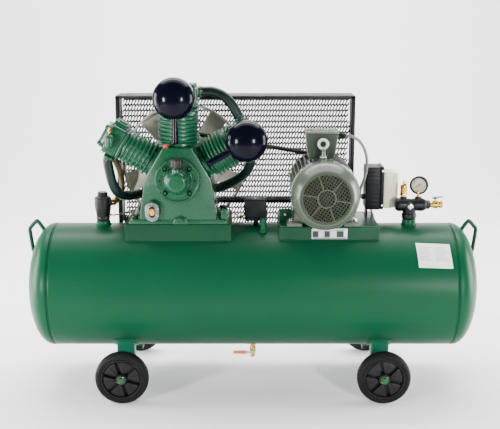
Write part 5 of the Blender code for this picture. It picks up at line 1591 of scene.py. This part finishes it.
def make_stage():
    material, tree, shader = node_tree("studio_floor")
    shade = ramp_node(tree, noise_node(tree, 0.6, 3.0),
                      [(0.3, (0.93, 0.93, 0.93)), (0.7, (0.96, 0.96, 0.96))])
    tree.links.new(shade, shader.inputs["Base Color"])
    shader.inputs["Roughness"].default_value = 0.75
    bm = bmesh.new()
    profile = [(-6.0, 0.0)] + [(3.2 + 2.2 * sin(a), 2.2 - 2.2 * cos(a))
                               for a in (pi / 2 * k / 16 for k in range(17))]
    profile.append((5.4, 9.0))
    lines = [[bm.verts.new((x, y, z)) for x in (-12, 12)] for y, z in profile]
    for a, b in zip(lines, lines[1:]):
        bridge(bm, a, b, around=False)
    mesh = bpy.data.meshes.new("floor")
    for face in bm.faces:
        face.smooth = True
    bm.to_mesh(mesh)
    bm.free()
    mesh.materials.append(material)
    floor = bpy.data.objects.new("floor", mesh)
    bpy.context.scene.collection.objects.link(floor)


def area_light(name, place, target, size, power, colour=(1, 1, 1)):
    light = bpy.data.lights.new(name, "AREA")
    light.shape, light.size, light.size_y = "RECTANGLE", size[0], size[1]
    light.energy, light.color = power, colour
    obj = bpy.data.objects.new(name, light)
    obj.location = place
    obj.rotation_euler = (Vector(target) - Vector(place)).to_track_quat("-Z", "Y").to_euler()
    bpy.context.scene.collection.objects.link(obj)


def make_lights():
    world = bpy.data.worlds.new("studio")
    world.use_nodes = True
    background = world.node_tree.nodes["Background"]
    background.inputs["Color"].default_value = (1, 1, 1, 1)
    background.inputs["Strength"].default_value = 0.14
    bpy.context.scene.world = world
    area_light("top", (0.0, 0.9, 3.6), (0, 0.1, 0.5), (5.0, 2.6), 210)
    area_light("left_key", (-2.3, -2.6, 0.95), (-0.2, 0, 0.7), (0.27, 0.66), 122)
    area_light("right_key", (1.5, -2.9, 1.0), (0.2, 0, 0.7), (0.23, 0.58), 92)
    area_light("left_panel", (-3.0, 0.2, 0.92), (-0.3, 0, 0.92), (1.2, 1.7), 160)
    area_light("right_panel", (3.0, 0.2, 0.92), (0.3, 0, 0.92), (1.2, 1.7), 140)
    area_light("backdrop", (0.0, 1.7, 4.2), (0, 4.8, 1.2), (6.0, 1.5), 700)


def make_camera():
    data = bpy.data.cameras.new("camera")
    data.lens, data.sensor_width = 64.8, 36.0
    camera = bpy.data.objects.new("camera", data)
    camera.location = CAMERA
    camera.rotation_euler = (pi / 2 - CAMERA_TILT, 0, 0)
    bpy.context.scene.collection.objects.link(camera)
    bpy.context.scene.camera = camera


def main():
    make_tank()
    make_handles()
    for place, side_x, side_y in (("front_left", -1, -1), ("front_right", 1, -1), ("rear_left", -1, 1),
                                  ("rear_right", 1, 1)):
        make_leg(place, side_x, side_y)
        make_tyre(place, side_x, side_y)
        make_hub(place, side_x, side_y)
    make_base("pump_mounting", "pump_base", (-0.481, -0.082), (-0.13, 0.13), PUMP_BASE_TOP)
    make_base("motor_mounting", "motor_base", (0.099, 0.476), (-0.125, 0.15), MOTOR_BASE_TOP)
    make_data_plate()
    make_blank_label()
    make_crankcase()
    make_cover()
    make_filler_cap()
    make_oil_window()
    for name in CYLINDERS:
        make_barrel(name)
        make_head(name)
    make_head_fittings()
    for name in ("middle", "right"):
        make_filter(name)
    make_pipes()
    make_discharge_tube()
    make_check_valve()
    make_unloader_tube()
    make_flywheel()
    make_crankshaft()
    make_motor_pulley()
    make_rotor()
    make_cooling_fan()
    make_belts()
    make_motor()
    make_cowl()
    make_terminal_box()
    make_conduit()
    make_guard()
    make_mesh()
    make_starter()
    make_starter_lid()
    make_pressure_switch()
    make_outlet()
    make_safety_valve()
    make_outlet_valve()
    make_outlet_lever()
    make_gauge()
    make_pointer()
    make_drain()
    make_drain_lever()
    make_pistons()
    make_stage()
    make_lights()
    make_camera()


main()
